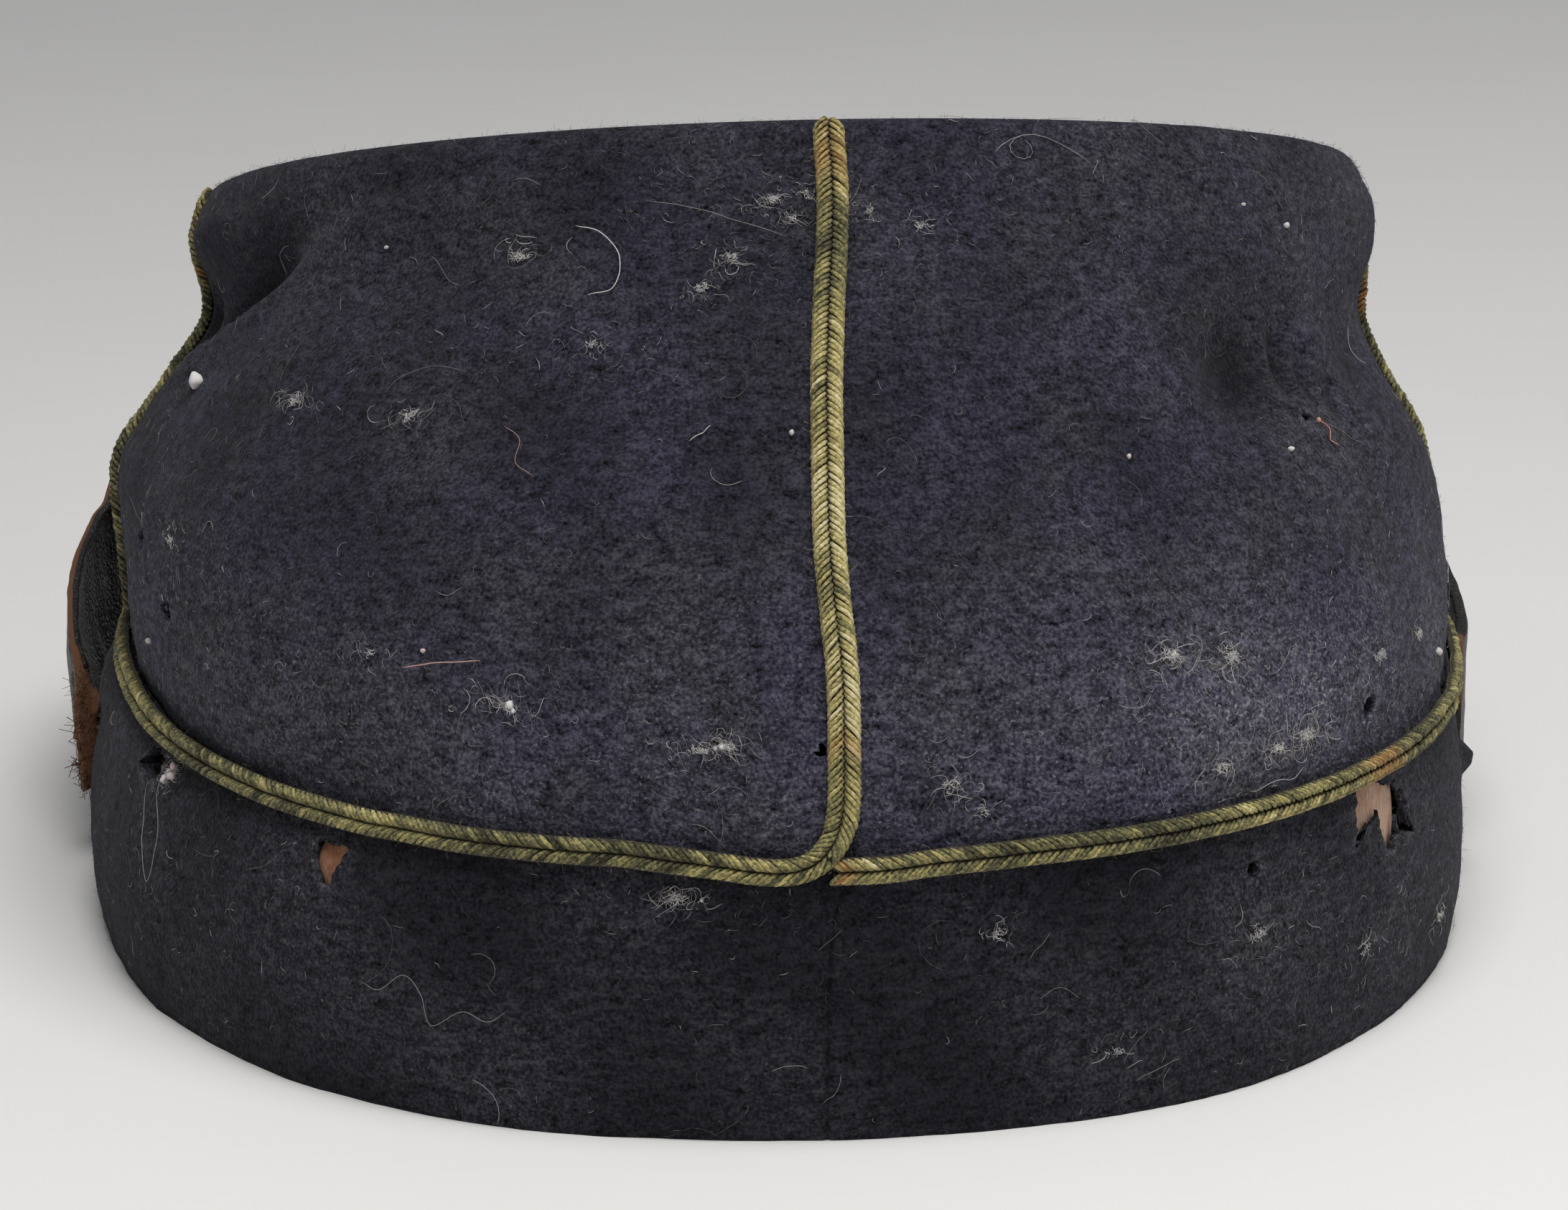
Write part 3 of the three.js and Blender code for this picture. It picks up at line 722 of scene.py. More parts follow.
# Columns: height, wavelength, seed
CROWN_WAVES = ((0.4, 40, 22), (0.14, 11, 23), (0.05, 3.5, 24))
CROWN_MM_PER_DEGREE = 1.4
CROWN_SEAM_ANGLE = 0.9
CROWN_SEAMS = (CROWN_SEAM_ANGLE, 90, 180, -90)
print("the crown has", len(CREASES), "creases and", len(CROWN_HOLES), "holes")

# %% [markdown]
# The creases fade out near the seams, where the braid holds the cloth, and towards the turned edge at the
# top. Dust is told apart from shade: it lies low on the crown and towards the right.

# %% Crown relief and dust


def crown_relief(angle, level, points):
    """How far the crown's cloth stands out from its plain shape, and how dark its creases are."""
    side = np.clip(level, 0, TOP_LEVEL)
    seam = sum(near(turned(angle, middle) * CROWN_MM_PER_DEGREE, 2.2) for middle in CROWN_SEAMS)
    near_seam = sum(near(turned(angle, middle) * CROWN_MM_PER_DEGREE, 4.0) for middle in CROWN_SEAMS)
    crease = fold_depth(CREASES, angle, side) * (1 - 0.95 * near_seam)
    at_band = near(side, 3.0)
    over_edge = np.clip((108 - level) / 8, 0, 1)
    gather = 1 + 0.5 * ripple(points, 6, 21)
    lift = waves(points, CROWN_WAVES) * (1 - 0.7 * np.minimum(seam + at_band, 1))
    lift = lift - 0.3 * at_band * gather - 0.3 * seam
    waist = near(turned(angle, WAIST_ANGLE), WAIST_SPREAD, side, 9)
    lift = lift - WAIST_DEPTH * waist
    # Painted shade: creases, the pinch at the band seam and the strips beside the braided seams are darkened
    # as shadow would darken them, and the listed places add painted shadow
    shade = 0.33 * np.maximum(crease - 0.8, 0) + 0.3 * at_band + 0.15 * seam
    for middle, rise, width, spread, dark in CROWN_SHADES:
        shade = shade + dark * near(turned(angle, middle), width, side - rise, spread)
    shade = np.clip(shade, 0, 0.85)
    return (lift - crease) * over_edge, shade * over_edge


def crown_dust(angle, level, points):
    """Dust lies thickest on the lower crown, towards the right, and in one rubbed patch there."""
    low = near(level - 10, 18)
    patch = near(turned(angle, 36), 12, level - 14, 9)
    right = np.clip(turned(angle, 0) / 80, 0, 0.6)
    return np.clip(0.14 + 0.4 * low + 0.45 * patch + 0.22 * right + 0.08 * ripple(points, 20, 25), 0, 1)


print("the crown has", len(CROWN_SEAMS), "seams")

# %% [markdown]
# All four panels come from one function. Those at the back get a closer grid than those at the front,
# because the camera looks at the back.

# %% Crown panels


def crown_panel(name, first, last, columns, rows):
    """One panel between two seams, its edges drawn close by the stitching, turned over the top's edge."""
    edge = math.degrees(0.05 * GAP / CROWN_SECTIONS[-1, 4])
    holes = [hole for hole in CROWN_HOLES if first < hole[0] < last]
    angles = refined(np.linspace(first + edge, last - edge, columns), [hole[0] for hole in holes], 1.5, 0.25)
    angles = angles[(angles >= first + edge - 1e-3) & (angles <= last - edge + 1e-3)]
    levels = np.concatenate([np.linspace(0, TOP_LEVEL, rows), np.linspace(100.7, CROWN_END, 14)])
    levels = refined(levels, [hole[1] for hole in holes], 2.0, 0.4)
    angle, level, keep, rim = open_holes(crown_skin, angles, levels, holes)
    level = np.clip(level, 0, CROWN_END)
    angle = np.clip(angle, first + edge, last - edge)
    plain = crown_skin(angle, level)
    # The lower edge is cut level with the band's top edge
    level_cut = np.stack([np.ones_like(level), np.ones_like(level), np.minimum(1, level / 20)], -1)
    normal = unit(crown_normal(angle, level) * level_cut)
    lift, shade = crown_relief(angle, level, plain)
    thick = np.interp(level, [96, 101, CROWN_END], [WOOL, 0.9, 0.5])
    inner = np.minimum(lift * 0.8 - thick, -0.4)
    dust = np.clip(crown_dust(angle, level, plain) + 0.2 * rim, 0, 1)
    piece = sheet_piece(
        name + "_cloth", plain + normal * lift[..., None], plain + normal * inner[..., None],
        crown_wool, "crown_wool", keep, dust=dust, shade=shade,
    )
    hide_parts(name)


crown_panel("crown_back_left", -90, CROWN_SEAM_ANGLE, columns=170, rows=105)
crown_panel("crown_back_right", CROWN_SEAM_ANGLE, 90, columns=170, rows=105)
crown_panel("crown_front_left", -180, -90, columns=100, rows=60)
crown_panel("crown_front_right", 90, 180, columns=100, rows=60)

# %% [markdown]
# The round top closes the crown under that turned edge, tilted towards the peak. From the back only the
# edge shows, as the cap's soft skyline, so the top itself can be simple: a disc whose middle sags
# slightly, as unsupported cloth does. A polar grid suits it, from the underside's middle, round the rim,
# to the upper middle.

# %% Crown top
TOP_RADIUS = 70.6
TOP_UNDER, TOP_OVER = 0.3, 2.15
TOP_SAG = 2.2
# Columns: height, wavelength, seed
TOP_WAVES = ((0.35, 24, 31), (0.12, 7, 32))


def top_frame(flat_x, flat_y, flat_z):
    """Disc coordinates to cap millimetres: tilted and rolled as the crown's top oval."""
    x0, y0, z0, half_width, back, _, _, tilt, roll = CROWN_SECTIONS[-1, 1:]
    tilt, roll = math.radians(tilt), math.radians(roll)
    x = flat_x * half_width / back
    risen = x * math.sin(roll) + flat_z * math.cos(roll)
    along = flat_y * math.cos(tilt) + risen * math.sin(tilt)
    up = risen * math.cos(tilt) - flat_y * math.sin(tilt)
    return np.stack([x0 + x * math.cos(roll) + 0 * up, y0 + along, z0 + up], -1)


def crown_top():
    turns = np.radians(np.linspace(0, 360, 241)[:-1])
    bend = np.radians(np.linspace(-90, 90, 7))
    half = (TOP_OVER - TOP_UNDER) / 2
    under, over = np.linspace(0.02, 0.98, 8), np.linspace(0.99, 0.02, 34)
    flat_radius = TOP_RADIUS - half
    ring = np.concatenate([under * flat_radius, flat_radius + half * np.cos(bend), over * flat_radius])
    height = np.concatenate([0 * under, half + half * np.sin(bend), 0 * over + 2 * half]) + TOP_UNDER
    x, y = ring[:, None] * np.sin(turns), -ring[:, None] * np.cos(turns)
    flat = np.stack([x, y, 0 * x], -1)
    upper = (np.arange(len(ring)) >= len(under) + len(bend))[:, None]
    inside = np.clip(1 - ring / TOP_RADIUS, 0, 1)[:, None]
    wave = waves(flat, TOP_WAVES)
    z = height[:, None] + upper * np.minimum(1, inside * 8) * (wave - TOP_SAG * np.sin(inside * math.pi / 2))
    return top_frame(x, y, z)


points = crown_top()
rows, cols = points.shape[:2]
faces = grid_cells(rows, cols, wraps=True).reshape(-1, 4).tolist() + end_caps(rows, cols)
dust = np.clip(0.35 + 0.3 * ripple(points, 25, 33), 0, 1)
points = points.reshape(-1, 3)
top = make_piece("crown_top_cloth", points, faces, crown_wool, "crown_wool", dust=dust, shade=0 * dust)
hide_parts("crown_top")

# %% [markdown]
# Soutache braid is two cords side by side, bound together by yarns that weave over one and under the
# other, so the face shows a row of slanting strands on each cord that meet in the groove like a
# herringbone. It was gold; it has gone olive where hands and dust reach it, and keeps a warmer gold on
# the back seam. A painted tone picks the colour along a ramp, so every strand can differ a little from
# the next.

# %% Braid finish
BRAID_TONES = (
    (0.0, from_screen(42, 40, 29)),
    (0.3, from_screen(96, 94, 66)),
    (0.55, from_screen(146, 139, 93)),
    (0.8, from_screen(194, 179, 115)),
    (1.0, from_screen(226, 214, 170)),
)
# Painted shade: where strands dip into the groove between the cords, and on the core under them, the braid is
# mixed towards this dark brown
BRAID_GROOVE_SHADE = from_screen(54, 46, 34)
BRAID_ORANGE = from_screen(188, 112, 52)


def braid_finish():
    finish = Finish("braid", roughness=0.85, sheen=0.1, specular=0.2)
    fuzz = finish.noise(0.4, 3)
    patch = finish.noise(6, 3)
    tone = finish.painted("tone") + (patch - 0.5) * 0.4 + (fuzz - 0.5) * 1.3
    colour = finish.node("ShaderNodeValToRGB", {"stops": BRAID_TONES}, {"Fac": tone})
    colour = finish.mix(finish.painted("rust"), colour, BRAID_ORANGE)
    finish.feed("Base Color", finish.mix(finish.painted("shade"), colour, BRAID_GROOVE_SHADE))
    finish.bump(fuzz, 0.25, 0.9)
    return finish.material


braid_gold = braid_finish()
print("braid finish", braid_gold.name)

# %% [markdown]
# One long braid runs round the band seam and turns up the back; shorter ones cover the side and front
# seams and go over the top's edge. Each strand is a small tube laid over its cord, because at this
# distance the strands themselves are what is seen, with a dark core underneath and a little broken fuzz
# outside. The braids sit on the finished cloth, creases and all, along a line softened so that they bend
# as cords do.

# %% Braid sizes
BRAID_UPRIGHT_WIDTH = 4.1
BRAID_RING_WIDTH = 3.3
BRAID_SEAT = 0.2
BRAID_STEP = 0.4
BRAID_TOP_LEVEL = 104.0
BRAID_START = -0.9
STRAND_PITCH = 0.76
STRAND_RADIUS = 0.28
STRAND_SLANT = 2.8
STRAND_SIDES = 5
# Along each strand: how thick it is, and how deep in the groove's shade
STRAND_TAPER = np.array([0.75, 0.95, 1, 1, 1, 0.95, 0.8])
STRAND_GROOVE = np.array([0.85, 0.6, 0.15, 0, 0, 0.1, 0.45])
CORD_OUT, CORD_HIGH = 0.5, 0.72
CORE_ACROSS, CORE_HIGH = 0.72, 0.55
FUZZ_PER_MM = 4
# Columns: angle, level
BRAID_TURN = (
    (355.9, 0), (358.1, 0.6), (359.5, 2.2), (360.3, 5.2), (360.7, 8.6), (360.9, 13), (361.2, 18),
    (361.4, 24), (361.2, 31), (361.1, 38), (361.1, 47), (360.9, 55), (360.6, 62), (360.5, 68),
    (360.3, 74), (360.3, 80), (360.5, 86), (360.9, 91), (361.0, 96), (361.2, BRAID_TOP_LEVEL),
)
# The seam is not quite level: angle, millimetres the braid stands above it
RING_RISE = np.array([
    [-180, 0], [-75, -0.3], [-60, -0.6], [-40, -0.1], [-30, 0.2], [-21, 0.8], [-17, 1.1],
    [-12, 0.5], [-6, -0.3], [-2, -0.6], [0, -0.3], [4, -0.1], [8, 0.4], [15, 0.8],
    [30, 0.7], [50, 0.2], [58, 0.1], [66, 0.4], [180, 0],
])
# The side braids lie in shadow and have kept less gold
DULLED = {"braid_left": 0.45, "braid_right": 0.65}
# Columns: braid, level, spread in levels, how orange
ORANGE_SPOTS = (
    ("braid_left", 86, 1.5, 0.35), ("braid_left", 98, 4, 0.15), ("braid_right", 74, 4, 0.5),
    ("braid_band_back", 97, 5, 0.3), ("braid_band_back", 15, 1.0, 0.35),
)
print("a braid turns up the back through", len(BRAID_TURN), "places")

# %% [markdown]
# A braid needs a line to follow. The finished cloth gives its height, a softened route its course, and an
# outward and a sideways direction at each point let anything be laid on it.

# %% Lines on the finished cloth


def crown_cloth(angle, level):
    """The crown's finished outside, with its creases."""
    plain = crown_skin(angle, level)
    return plain + crown_normal(angle, level) * crown_relief(angle, level, plain)[0][..., None]


def band_cloth(angle, height):
    """The band's finished outside."""
    plain = band_skin(angle, height)
    return plain + band_normal(angle, height) * band_relief(angle, height, plain)[0][..., None]


def shell_cloth(angle, rise):
    """Band and crown as one finished cloth; rise is millimetres below the seam, levels above it."""
    low = band_cloth(angle, SEAM_HEIGHT + np.minimum(rise, 0))
    return np.where((rise < 0)[..., None], low, crown_cloth(angle, np.maximum(rise, 0)))


def softened(table, window):
    """A table smoothed along its rows, its ends held."""
    padded = np.pad(table, ((window, window), (0, 0)), mode="reflect", reflect_type="odd")
    kernel = np.hanning(2 * window + 3)[1:-1]
    kernel = kernel / kernel.sum()
    return np.stack([np.convolve(column, kernel, mode="valid") for column in padded.T], -1)


def smooth_route(route, step, soften):
    """A route of (angle, level) stops, evenly divided in millimetres, with its corners rounded."""
    stops = np.array(route, float)
    spans = [np.linspace(a, b, 60)[:-1] for a, b in zip(stops[:-1], stops[1:])]
    dense = np.concatenate(spans + [stops[-1:]])
    path = crown_skin(dense[:, 0], dense[:, 1])
    length = np.concatenate([[0], np.cumsum(np.linalg.norm(np.diff(path, axis=0), axis=1))])
    even = np.linspace(0, length[-1], max(int(length[-1] / step), 8))
    table = np.stack([np.interp(even, length, column) for column in dense.T], -1)
    return softened(table, max(int(soften / step), 1))


def ride_along(points, normal):
    """Frames along a line: length so far, points, outward and sideways directions."""
    along = unit(np.gradient(points, axis=0))
    out = unit(normal - along * (normal * along).sum(-1, keepdims=True))
    length = np.concatenate([[0], np.cumsum(np.linalg.norm(np.diff(points, axis=0), axis=1))])
    return length, points, out, np.cross(out, along)


def frame_at(frames, where):
    """Point, outward and sideways direction at lengths along a line."""
    length, *tables = frames
    return [np.stack([np.interp(where, length, column) for column in table.T], -1) for table in tables]


print("finished cloth at the back seam", np.round(crown_cloth(np.array(0.0), np.array(50.0)), 1), "mm")

# %% [markdown]
# Yarn, fibres and nap are all thin tubes, made by the thousand. One helper therefore makes many tubes at
# once from an array of paths, and another joins such lumps, so that a piece stays a single mesh.

# %% Tubes
# A direction that hardly any tube runs along
ASKEW = np.array([0.31, 0.52, 0.80])


def tube_mesh(paths, radius, sides):
    """Many thin tubes at once: paths is tubes by points by 3, radius is tubes by points."""
    count, steps = paths.shape[:2]
    along = unit(np.gradient(paths, axis=1))
    side = unit(np.cross(along, ASKEW))
    other = np.cross(along, side)
    bend = np.linspace(0, 2 * math.pi, sides, endpoint=False)
    ring = side[:, :, None] * np.cos(bend)[:, None] + other[:, :, None] * np.sin(bend)[:, None]
    points = paths[:, :, None] + ring * radius[:, :, None, None]
    cells = grid_cells(steps, sides, wraps=True).reshape(-1, 4)
    faces = np.arange(count)[:, None, None] * steps * sides + cells
    return points.reshape(-1, 3), faces.reshape(-1, 4)


def stub_paths(root, lean, reach, knee, curl):
    """Short fibres of three points: a root, a knee part of the way along, and a curled tip."""
    return np.stack([root, root + lean * reach * knee, root + (lean + curl) * reach], 1)


def join(parts):
    """Several (points, faces, painted) lumps as one."""
    offsets = np.cumsum([0] + [len(points) for points, _, _ in parts])
    points = np.concatenate([points for points, _, _ in parts])
    faces = np.concatenate([faces + offset for (_, faces, _), offset in zip(parts, offsets)])
    painted = {key: np.concatenate([values[key] for _, _, values in parts]) for key in parts[0][2]}
    return points, faces, painted


tried = tube_mesh(np.arange(7.0)[None, :, None] * [1, 0, 0], np.ones((1, 7)), STRAND_SIDES)
print("a tube along 7 points has", len(tried[1]), "faces")

# %% [markdown]
# The parts of a braid share its line and its wear, kept together as one cord: frames along the line, half
# the width of each of its two cords, and how gold or orange it is at each place.

# %% The line of a braid


def braid_worn(node, angle, level):
    """Tone and orange wear of a braid at a place."""
    stops = [0, 6, 18, 50, 62, 80, 92, 104]
    tone = np.interp(level, stops, [0.42, 0.5, 0.8, 0.8, 0.58, 0.5, 0.62, 0.7])
    patch = near(turned(angle, 50), 2.6) * (level < 3)
    orange = 0.4 * patch
    for spot_node, rise, spread, amount in ORANGE_SPOTS:
        orange = orange + amount * near(level - rise, spread) * (node == spot_node)
    return (tone + 0.1 * patch) * DULLED.get(node, 1.0), orange


def braid_cord(node, route, soften, sunk_above):
    """A braid's frames over the finished cloth, with its width and wear along them."""
    path = smooth_route(route, BRAID_STEP, soften)
    angle, level = path[:, 0], np.clip(path[:, 1], 0, BRAID_TOP_LEVEL)
    window = int(3 / BRAID_STEP)
    normal = normal_of(shell_skin, angle, level, -SEAM_HEIGHT, CROWN_END, reach=1.2)
    normal = unit(softened(normal, window))
    seat = BRAID_SEAT + 0.5 * near(level, 3)
    if sunk_above:
        seat = seat - np.clip((level - sunk_above) / 7, 0, 1)
    rise = level + np.interp(turned(angle, 0), *RING_RISE.T) * near(level, 2)
    line = softened(shell_cloth(angle, rise), window) + normal * seat[:, None]
    frames = ride_along(line, normal)
    tone, rust = braid_worn(node, angle, level)
    if node == "braid_band_back":
        # Its first end is tucked under the turn, with an orange thread showing
        frames[1][:] -= normal * 0.9 * near(frames[0], 2.2)[:, None]
        rust = rust + 0.5 * near(frames[0] - 1.6, 0.7)
    half = np.interp(level, [0, 6], [BRAID_RING_WIDTH / 4, BRAID_UPRIGHT_WIDTH / 4])
    return {"frames": frames, "total": frames[0][-1], "half": half, "tone": tone, "rust": rust}


def cord_value(cord, key, where):
    """A cord's width or wear at lengths along it."""
    return np.interp(where, cord["frames"][0], cord[key])


print("orange wear at", len(ORANGE_SPOTS), "places")

# %% [markdown]
# Each strand starts a little further along than the last, climbs over its cord at a slant and dips into
# the groove, and its start, thickness and tone vary slightly. Under the strands a dark core closes the
# cord, and broken ends stand off outside.

# %% Strands


def strand_part(cord, side, starts, seed, chance):
    """The slanting strands over one of the two cords."""
    count = len(starts)
    bend = np.radians(np.linspace(205, -25, len(STRAND_TAPER)))
    shift = 0.5 * STRAND_PITCH if side > 0 else 0
    begin = starts + shift + chance.normal(0, 0.07, count)
    lean = STRAND_SLANT * np.linspace(0.5, -0.5, len(bend))
    where = np.clip(begin[:, None] + lean, 0, cord["total"])
    points, out, across = frame_at(cord["frames"], where)
    plump = 1 + chance.normal(0, 0.06, (count, 1))
    half = cord_value(cord, "half", where)
    over = side * (half - 0.1 + (half - STRAND_RADIUS) * np.cos(bend))
    high = CORD_OUT + CORD_HIGH * plump * np.sin(bend)
    strands = points + across * over[..., None] + out * high[..., None]
    tone = cord_value(cord, "tone", begin) + 0.1 * np.sin(begin / 9 + seed) + 0.07 * np.sin(begin / 3.7)
    tone = tone + chance.normal(0, 0.13, count)
    rust = cord_value(cord, "rust", begin) * chance.uniform(0.6, 1.2, count)
    thick = STRAND_RADIUS * STRAND_TAPER * chance.uniform(0.85, 1.1, (count, 1))
    points, faces = tube_mesh(strands, thick, STRAND_SIDES)
    groove = np.repeat(STRAND_GROOVE, STRAND_SIDES)
    painted = {"tone": np.repeat(np.clip(tone, 0, 1), len(groove))}
    painted["rust"] = np.repeat(np.clip(rust, 0, 0.9), len(groove))
    painted["shade"] = np.tile(groove, count)
    return points, faces, painted


print("one strand runs through", len(STRAND_TAPER), "points")

# %% [markdown]
# The core only has to be dark, as painted shade in the gaps between the strands, and to fill those gaps,
# so it is a plain tube. Fuzz is many fibres that are hardly seen one by one, yet they take the hard edge
# off the whole braid.

# %% Core and fuzz


def core_part(cord, side):
    """A dark core, painted shade in the gaps, that fills one cord under its strands."""
    where = np.linspace(0.3, cord["total"] - 0.3, max(int(cord["total"] / 1.5), 4))
    at, out, across = frame_at(cord["frames"], where)
    spokes = np.radians(np.linspace(0, 360, 9)[:-1])
    over = side * BRAID_RING_WIDTH / 4 + CORE_ACROSS * np.cos(spokes)
    high = CORD_OUT + CORE_HIGH * np.sin(spokes)
    ring = at[:, None] + across[:, None] * over[:, None] + out[:, None] * high[:, None]
    cells = grid_cells(len(at), len(spokes), wraps=True).reshape(-1, 4)
    plain = np.ones(ring.size // 3)
    painted = {"tone": 0.12 * plain, "rust": 0 * plain, "shade": 0.55 * plain}
    return ring.reshape(-1, 3), cells, painted


def fuzz_part(cord, chance):
    """Broken ends that stand off all along a braid."""
    count = int(cord["total"] * FUZZ_PER_MM)
    where = chance.uniform(0, cord["total"], count)
    points, out, across = frame_at(cord["frames"], where)
    half = cord_value(cord, "half", where)
    over = chance.uniform(-2, 2, count)
    root = points + across * (over * half)[:, None] + out * (0.9 - 0.2 * over[:, None] ** 2)
    lean = out * chance.uniform(0.2, 0.8, (count, 1)) + across * over[:, None] * 0.4
    lean = unit(lean + chance.normal(0, 0.5, (count, 3)))
    reach = chance.uniform(0.3, 0.9, (count, 1))
    fuzz = stub_paths(root, lean, reach, 0.6, chance.normal(0, 0.3, (count, 3)))
    points, faces = tube_mesh(fuzz, np.tile(chance.uniform(0.012, 0.022, (count, 1)), (1, 3)), 3)
    tone = cord_value(cord, "tone", where) + chance.normal(0.02, 0.1, count)
    tone = np.repeat(np.clip(tone, 0, 1), len(points) // count)
    return points, faces, {"tone": tone, "rust": 0 * tone, "shade": 0 * tone}


print("fuzz has", FUZZ_PER_MM, "fibres on each millimetre of braid")

# %% [markdown]
# With these parts a braid is one call. The long one starts beside the back seam, goes all the way round and
# turns up; the others run straight up their seams and over the edge.

# %% Braids


def braid_piece(node, route, seed, soften=4.0, sunk_above=None):
    """One braid: its strands, its core and its fuzz."""
    chance = np.random.default_rng(seed)
    cord = braid_cord(node, route, soften, sunk_above)
    total = cord["total"]
    starts = np.arange(0.5 * STRAND_PITCH, total - 0.5 * STRAND_PITCH, STRAND_PITCH)
    parts = []
    for side in (-1, 1):
        parts.append(strand_part(cord, side, starts, seed, chance))
        parts.append(core_part(cord, side))
    parts.append(fuzz_part(cord, chance))
    points, faces, painted = join(parts)
    piece = make_piece(node + "_yarn", points, faces, braid_gold, "braid", **painted)
    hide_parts(node)
    print(node, "is", round(total), "mm long with", 2 * len(starts), "strands")


ring_stops = [(BRAID_START, 0)] + [(a, 0) for a in range(3, 351, 4)]
braid_piece("braid_band_back", ring_stops + list(BRAID_TURN), seed=1)
braid_piece("braid_right", ((90, 5), (90, 50), (90, BRAID_TOP_LEVEL)), seed=2, sunk_above=75)
braid_piece("braid_left", ((-90, 5), (-90, 50), (-90, BRAID_TOP_LEVEL)), seed=3)
braid_piece("braid_front", ((180, 9), (180, 50), (180, BRAID_TOP_LEVEL)), seed=4)

# %% [markdown]
# The chin strap is a leather ribbon sewn to the band at each side and laid up round the front of the
# crown. Its face is black and finely creased; the cut edges and the torn left end show raw brown leather.
# Colour changes where the painted raw value, broken up by noise, passes a threshold, as a finish does
# when it flakes.

# %% Leather finish
BLACK = from_screen(30, 28, 26)
SCUFFED = from_screen(74, 62, 50)
RAW = from_screen(126, 88, 62)
RAW_DARK = from_screen(84, 52, 34)
PORES_PER_METRE = 1100


def leather_finish():
    finish = Finish("leather", roughness=0.5, specular=0.35)
    cells = {"Vector": finish.where(), "Scale": PORES_PER_METRE}
    grain = finish.node("ShaderNodeTexVoronoi", {"feature": "DISTANCE_TO_EDGE"}, cells)
    crease = finish.noise(2.6, 3, finish.where(stretch=(1, 1, 0.5)))
    scuff = finish.ease(finish.noise(1.6, 4), 0.56, 0.74)
    raw = finish.ease(finish.painted("raw") + (crease - 0.5) * 0.6, 0.4, 0.62)
    fibre = finish.noise(0.5, 3)
    brown = finish.scaled(finish.mix(fibre, RAW, RAW_DARK), fibre * 1.2 + 0.45)
    colour = finish.mix(scuff * 0.4, BLACK, SCUFFED)
    finish.feed("Base Color", finish.mix(raw, colour, brown))
    finish.feed("Roughness", raw * 0.4 + scuff * 0.15 + 0.42)
    finish.bump(finish.ease(grain, 0.0, 0.25) * 0.5 + crease * 0.8 + fibre * raw, 0.3, 0.7)
    return finish.material


leather = leather_finish()
print("leather finish", leather.name)

# %% [markdown]
# The strap is one section swept along a route of a few chosen points: up from the left side of the band,
# round the front of the crown and down again at the right. Both ends are sewn down; the left one is torn,
# so its last millimetres are pushed about unevenly and a fringe of leather fibres hangs from it.

# %% Strap route
STRAP_WIDTH = 16.0
STRAP_THICKNESS = 1.6
STRAP_FRONT_HEIGHT = 46.0
STRAP_FRONT_STANDOFF = 3.8
TORN_REACH = 7
CURL_PLACE, CURL_SPREAD = 24, 18
FRINGE_COUNT = 420
# Columns: height, wavelength, seed
STRAP_WAVES = ((0.25, 14, 43), (0.12, 5, 44))
FRAY_WAVES = ((0.8, 4, 41), (0.5, 1.6, 42))
# Columns: x, y, z, from each end up towards the front
STRAP_LEFT = (
    (-85.1, 6, 15.4), (-86.2, 12, 17.0), (-87.2, 20, 19.4), (-87.5, 29, 22.0),
    (-86.7, 38, 24.4), (-83.8, 48, 27.6), (-75.8, 62, 35.4),
)
STRAP_RIGHT = (
    (85.5, 2, 19.4), (86.9, 7, 19.9), (87.6, 13, 20.6), (87.6, 20, 21.8),
    (86.9, 28.5, 23.8), (84.9, 38, 26.6), (81.0, 48, 29.6), (73.6, 62, 37.0),
)
STRAP_FRONT_ANGLES = (212, 201, 190, 180, 170, 159, 148)


def crown_at_height(angle, height, standoff):
    """The crown's outside at a height, stood off by a little."""
    levels = np.linspace(0, TOP_LEVEL, 1001)
    level = np.interp(height, crown_skin(angle, levels)[:, 2], levels)
    point = crown_skin(angle, level) + crown_normal(angle, level) * standoff
    return (point[0], point[1], height)


def catmull(points, per_span):
    """Smooth curve through points."""
    p = np.concatenate([[2 * points[0] - points[1]], points, [2 * points[-1] - points[-2]]])
    t = np.linspace(0, 1, per_span, endpoint=False)[:, None]
    spans = []
    for a, b, c, d in zip(p[:-3], p[1:-2], p[2:-1], p[3:]):
        bow = (2 * a - 5 * b + 4 * c - d) * t**2 + (3 * b - a - 3 * c + d) * t**3
        spans.append(0.5 * (2 * b + (c - a) * t + bow))
    return np.concatenate(spans + [points[-1:]])


front = [crown_at_height(a, STRAP_FRONT_HEIGHT, STRAP_FRONT_STANDOFF) for a in STRAP_FRONT_ANGLES]
strap_line = catmull(np.array(STRAP_LEFT + tuple(front) + STRAP_RIGHT[::-1], float), 16)
strap_along = unit(np.gradient(strap_line, axis=0))
strap_frames = ride_along(strap_line, unit(np.cross([0, 0, 1], strap_along)))
strap_length = strap_frames[0][-1]
print("chin strap", round(strap_length), "mm long")

# %% [markdown]
# The section is a rounded rectangle with its long faces divided, so that the leather can wave across its
# width as well as along it. Near the torn end it frays, swells and curls in towards the band.

# %% Strap leather


def ribbon_section(width, thickness, corner, per_corner=4, per_face=9):
    """Rounded rectangle of [across, out] points, out from 0 to thickness, its faces divided."""
    points = []
    for sign_u, sign_h, start in ((1, -1, -90), (1, 1, 0), (-1, 1, 90), (-1, -1, 180)):
        for bend in np.radians(np.linspace(start, start + 90, per_corner)):
            u = sign_u * (width / 2 - corner) + corner * math.cos(bend)
            h = thickness / 2 + sign_h * (thickness / 2 - corner) + corner * math.sin(bend)
            points.append((u, h))
        if sign_u == sign_h:
            for u in np.linspace(sign_u, -sign_u, per_face + 2)[1:-1]:
                points.append((u * (width / 2 - corner), thickness / 2 + sign_h * thickness / 2))
    return np.array(points)


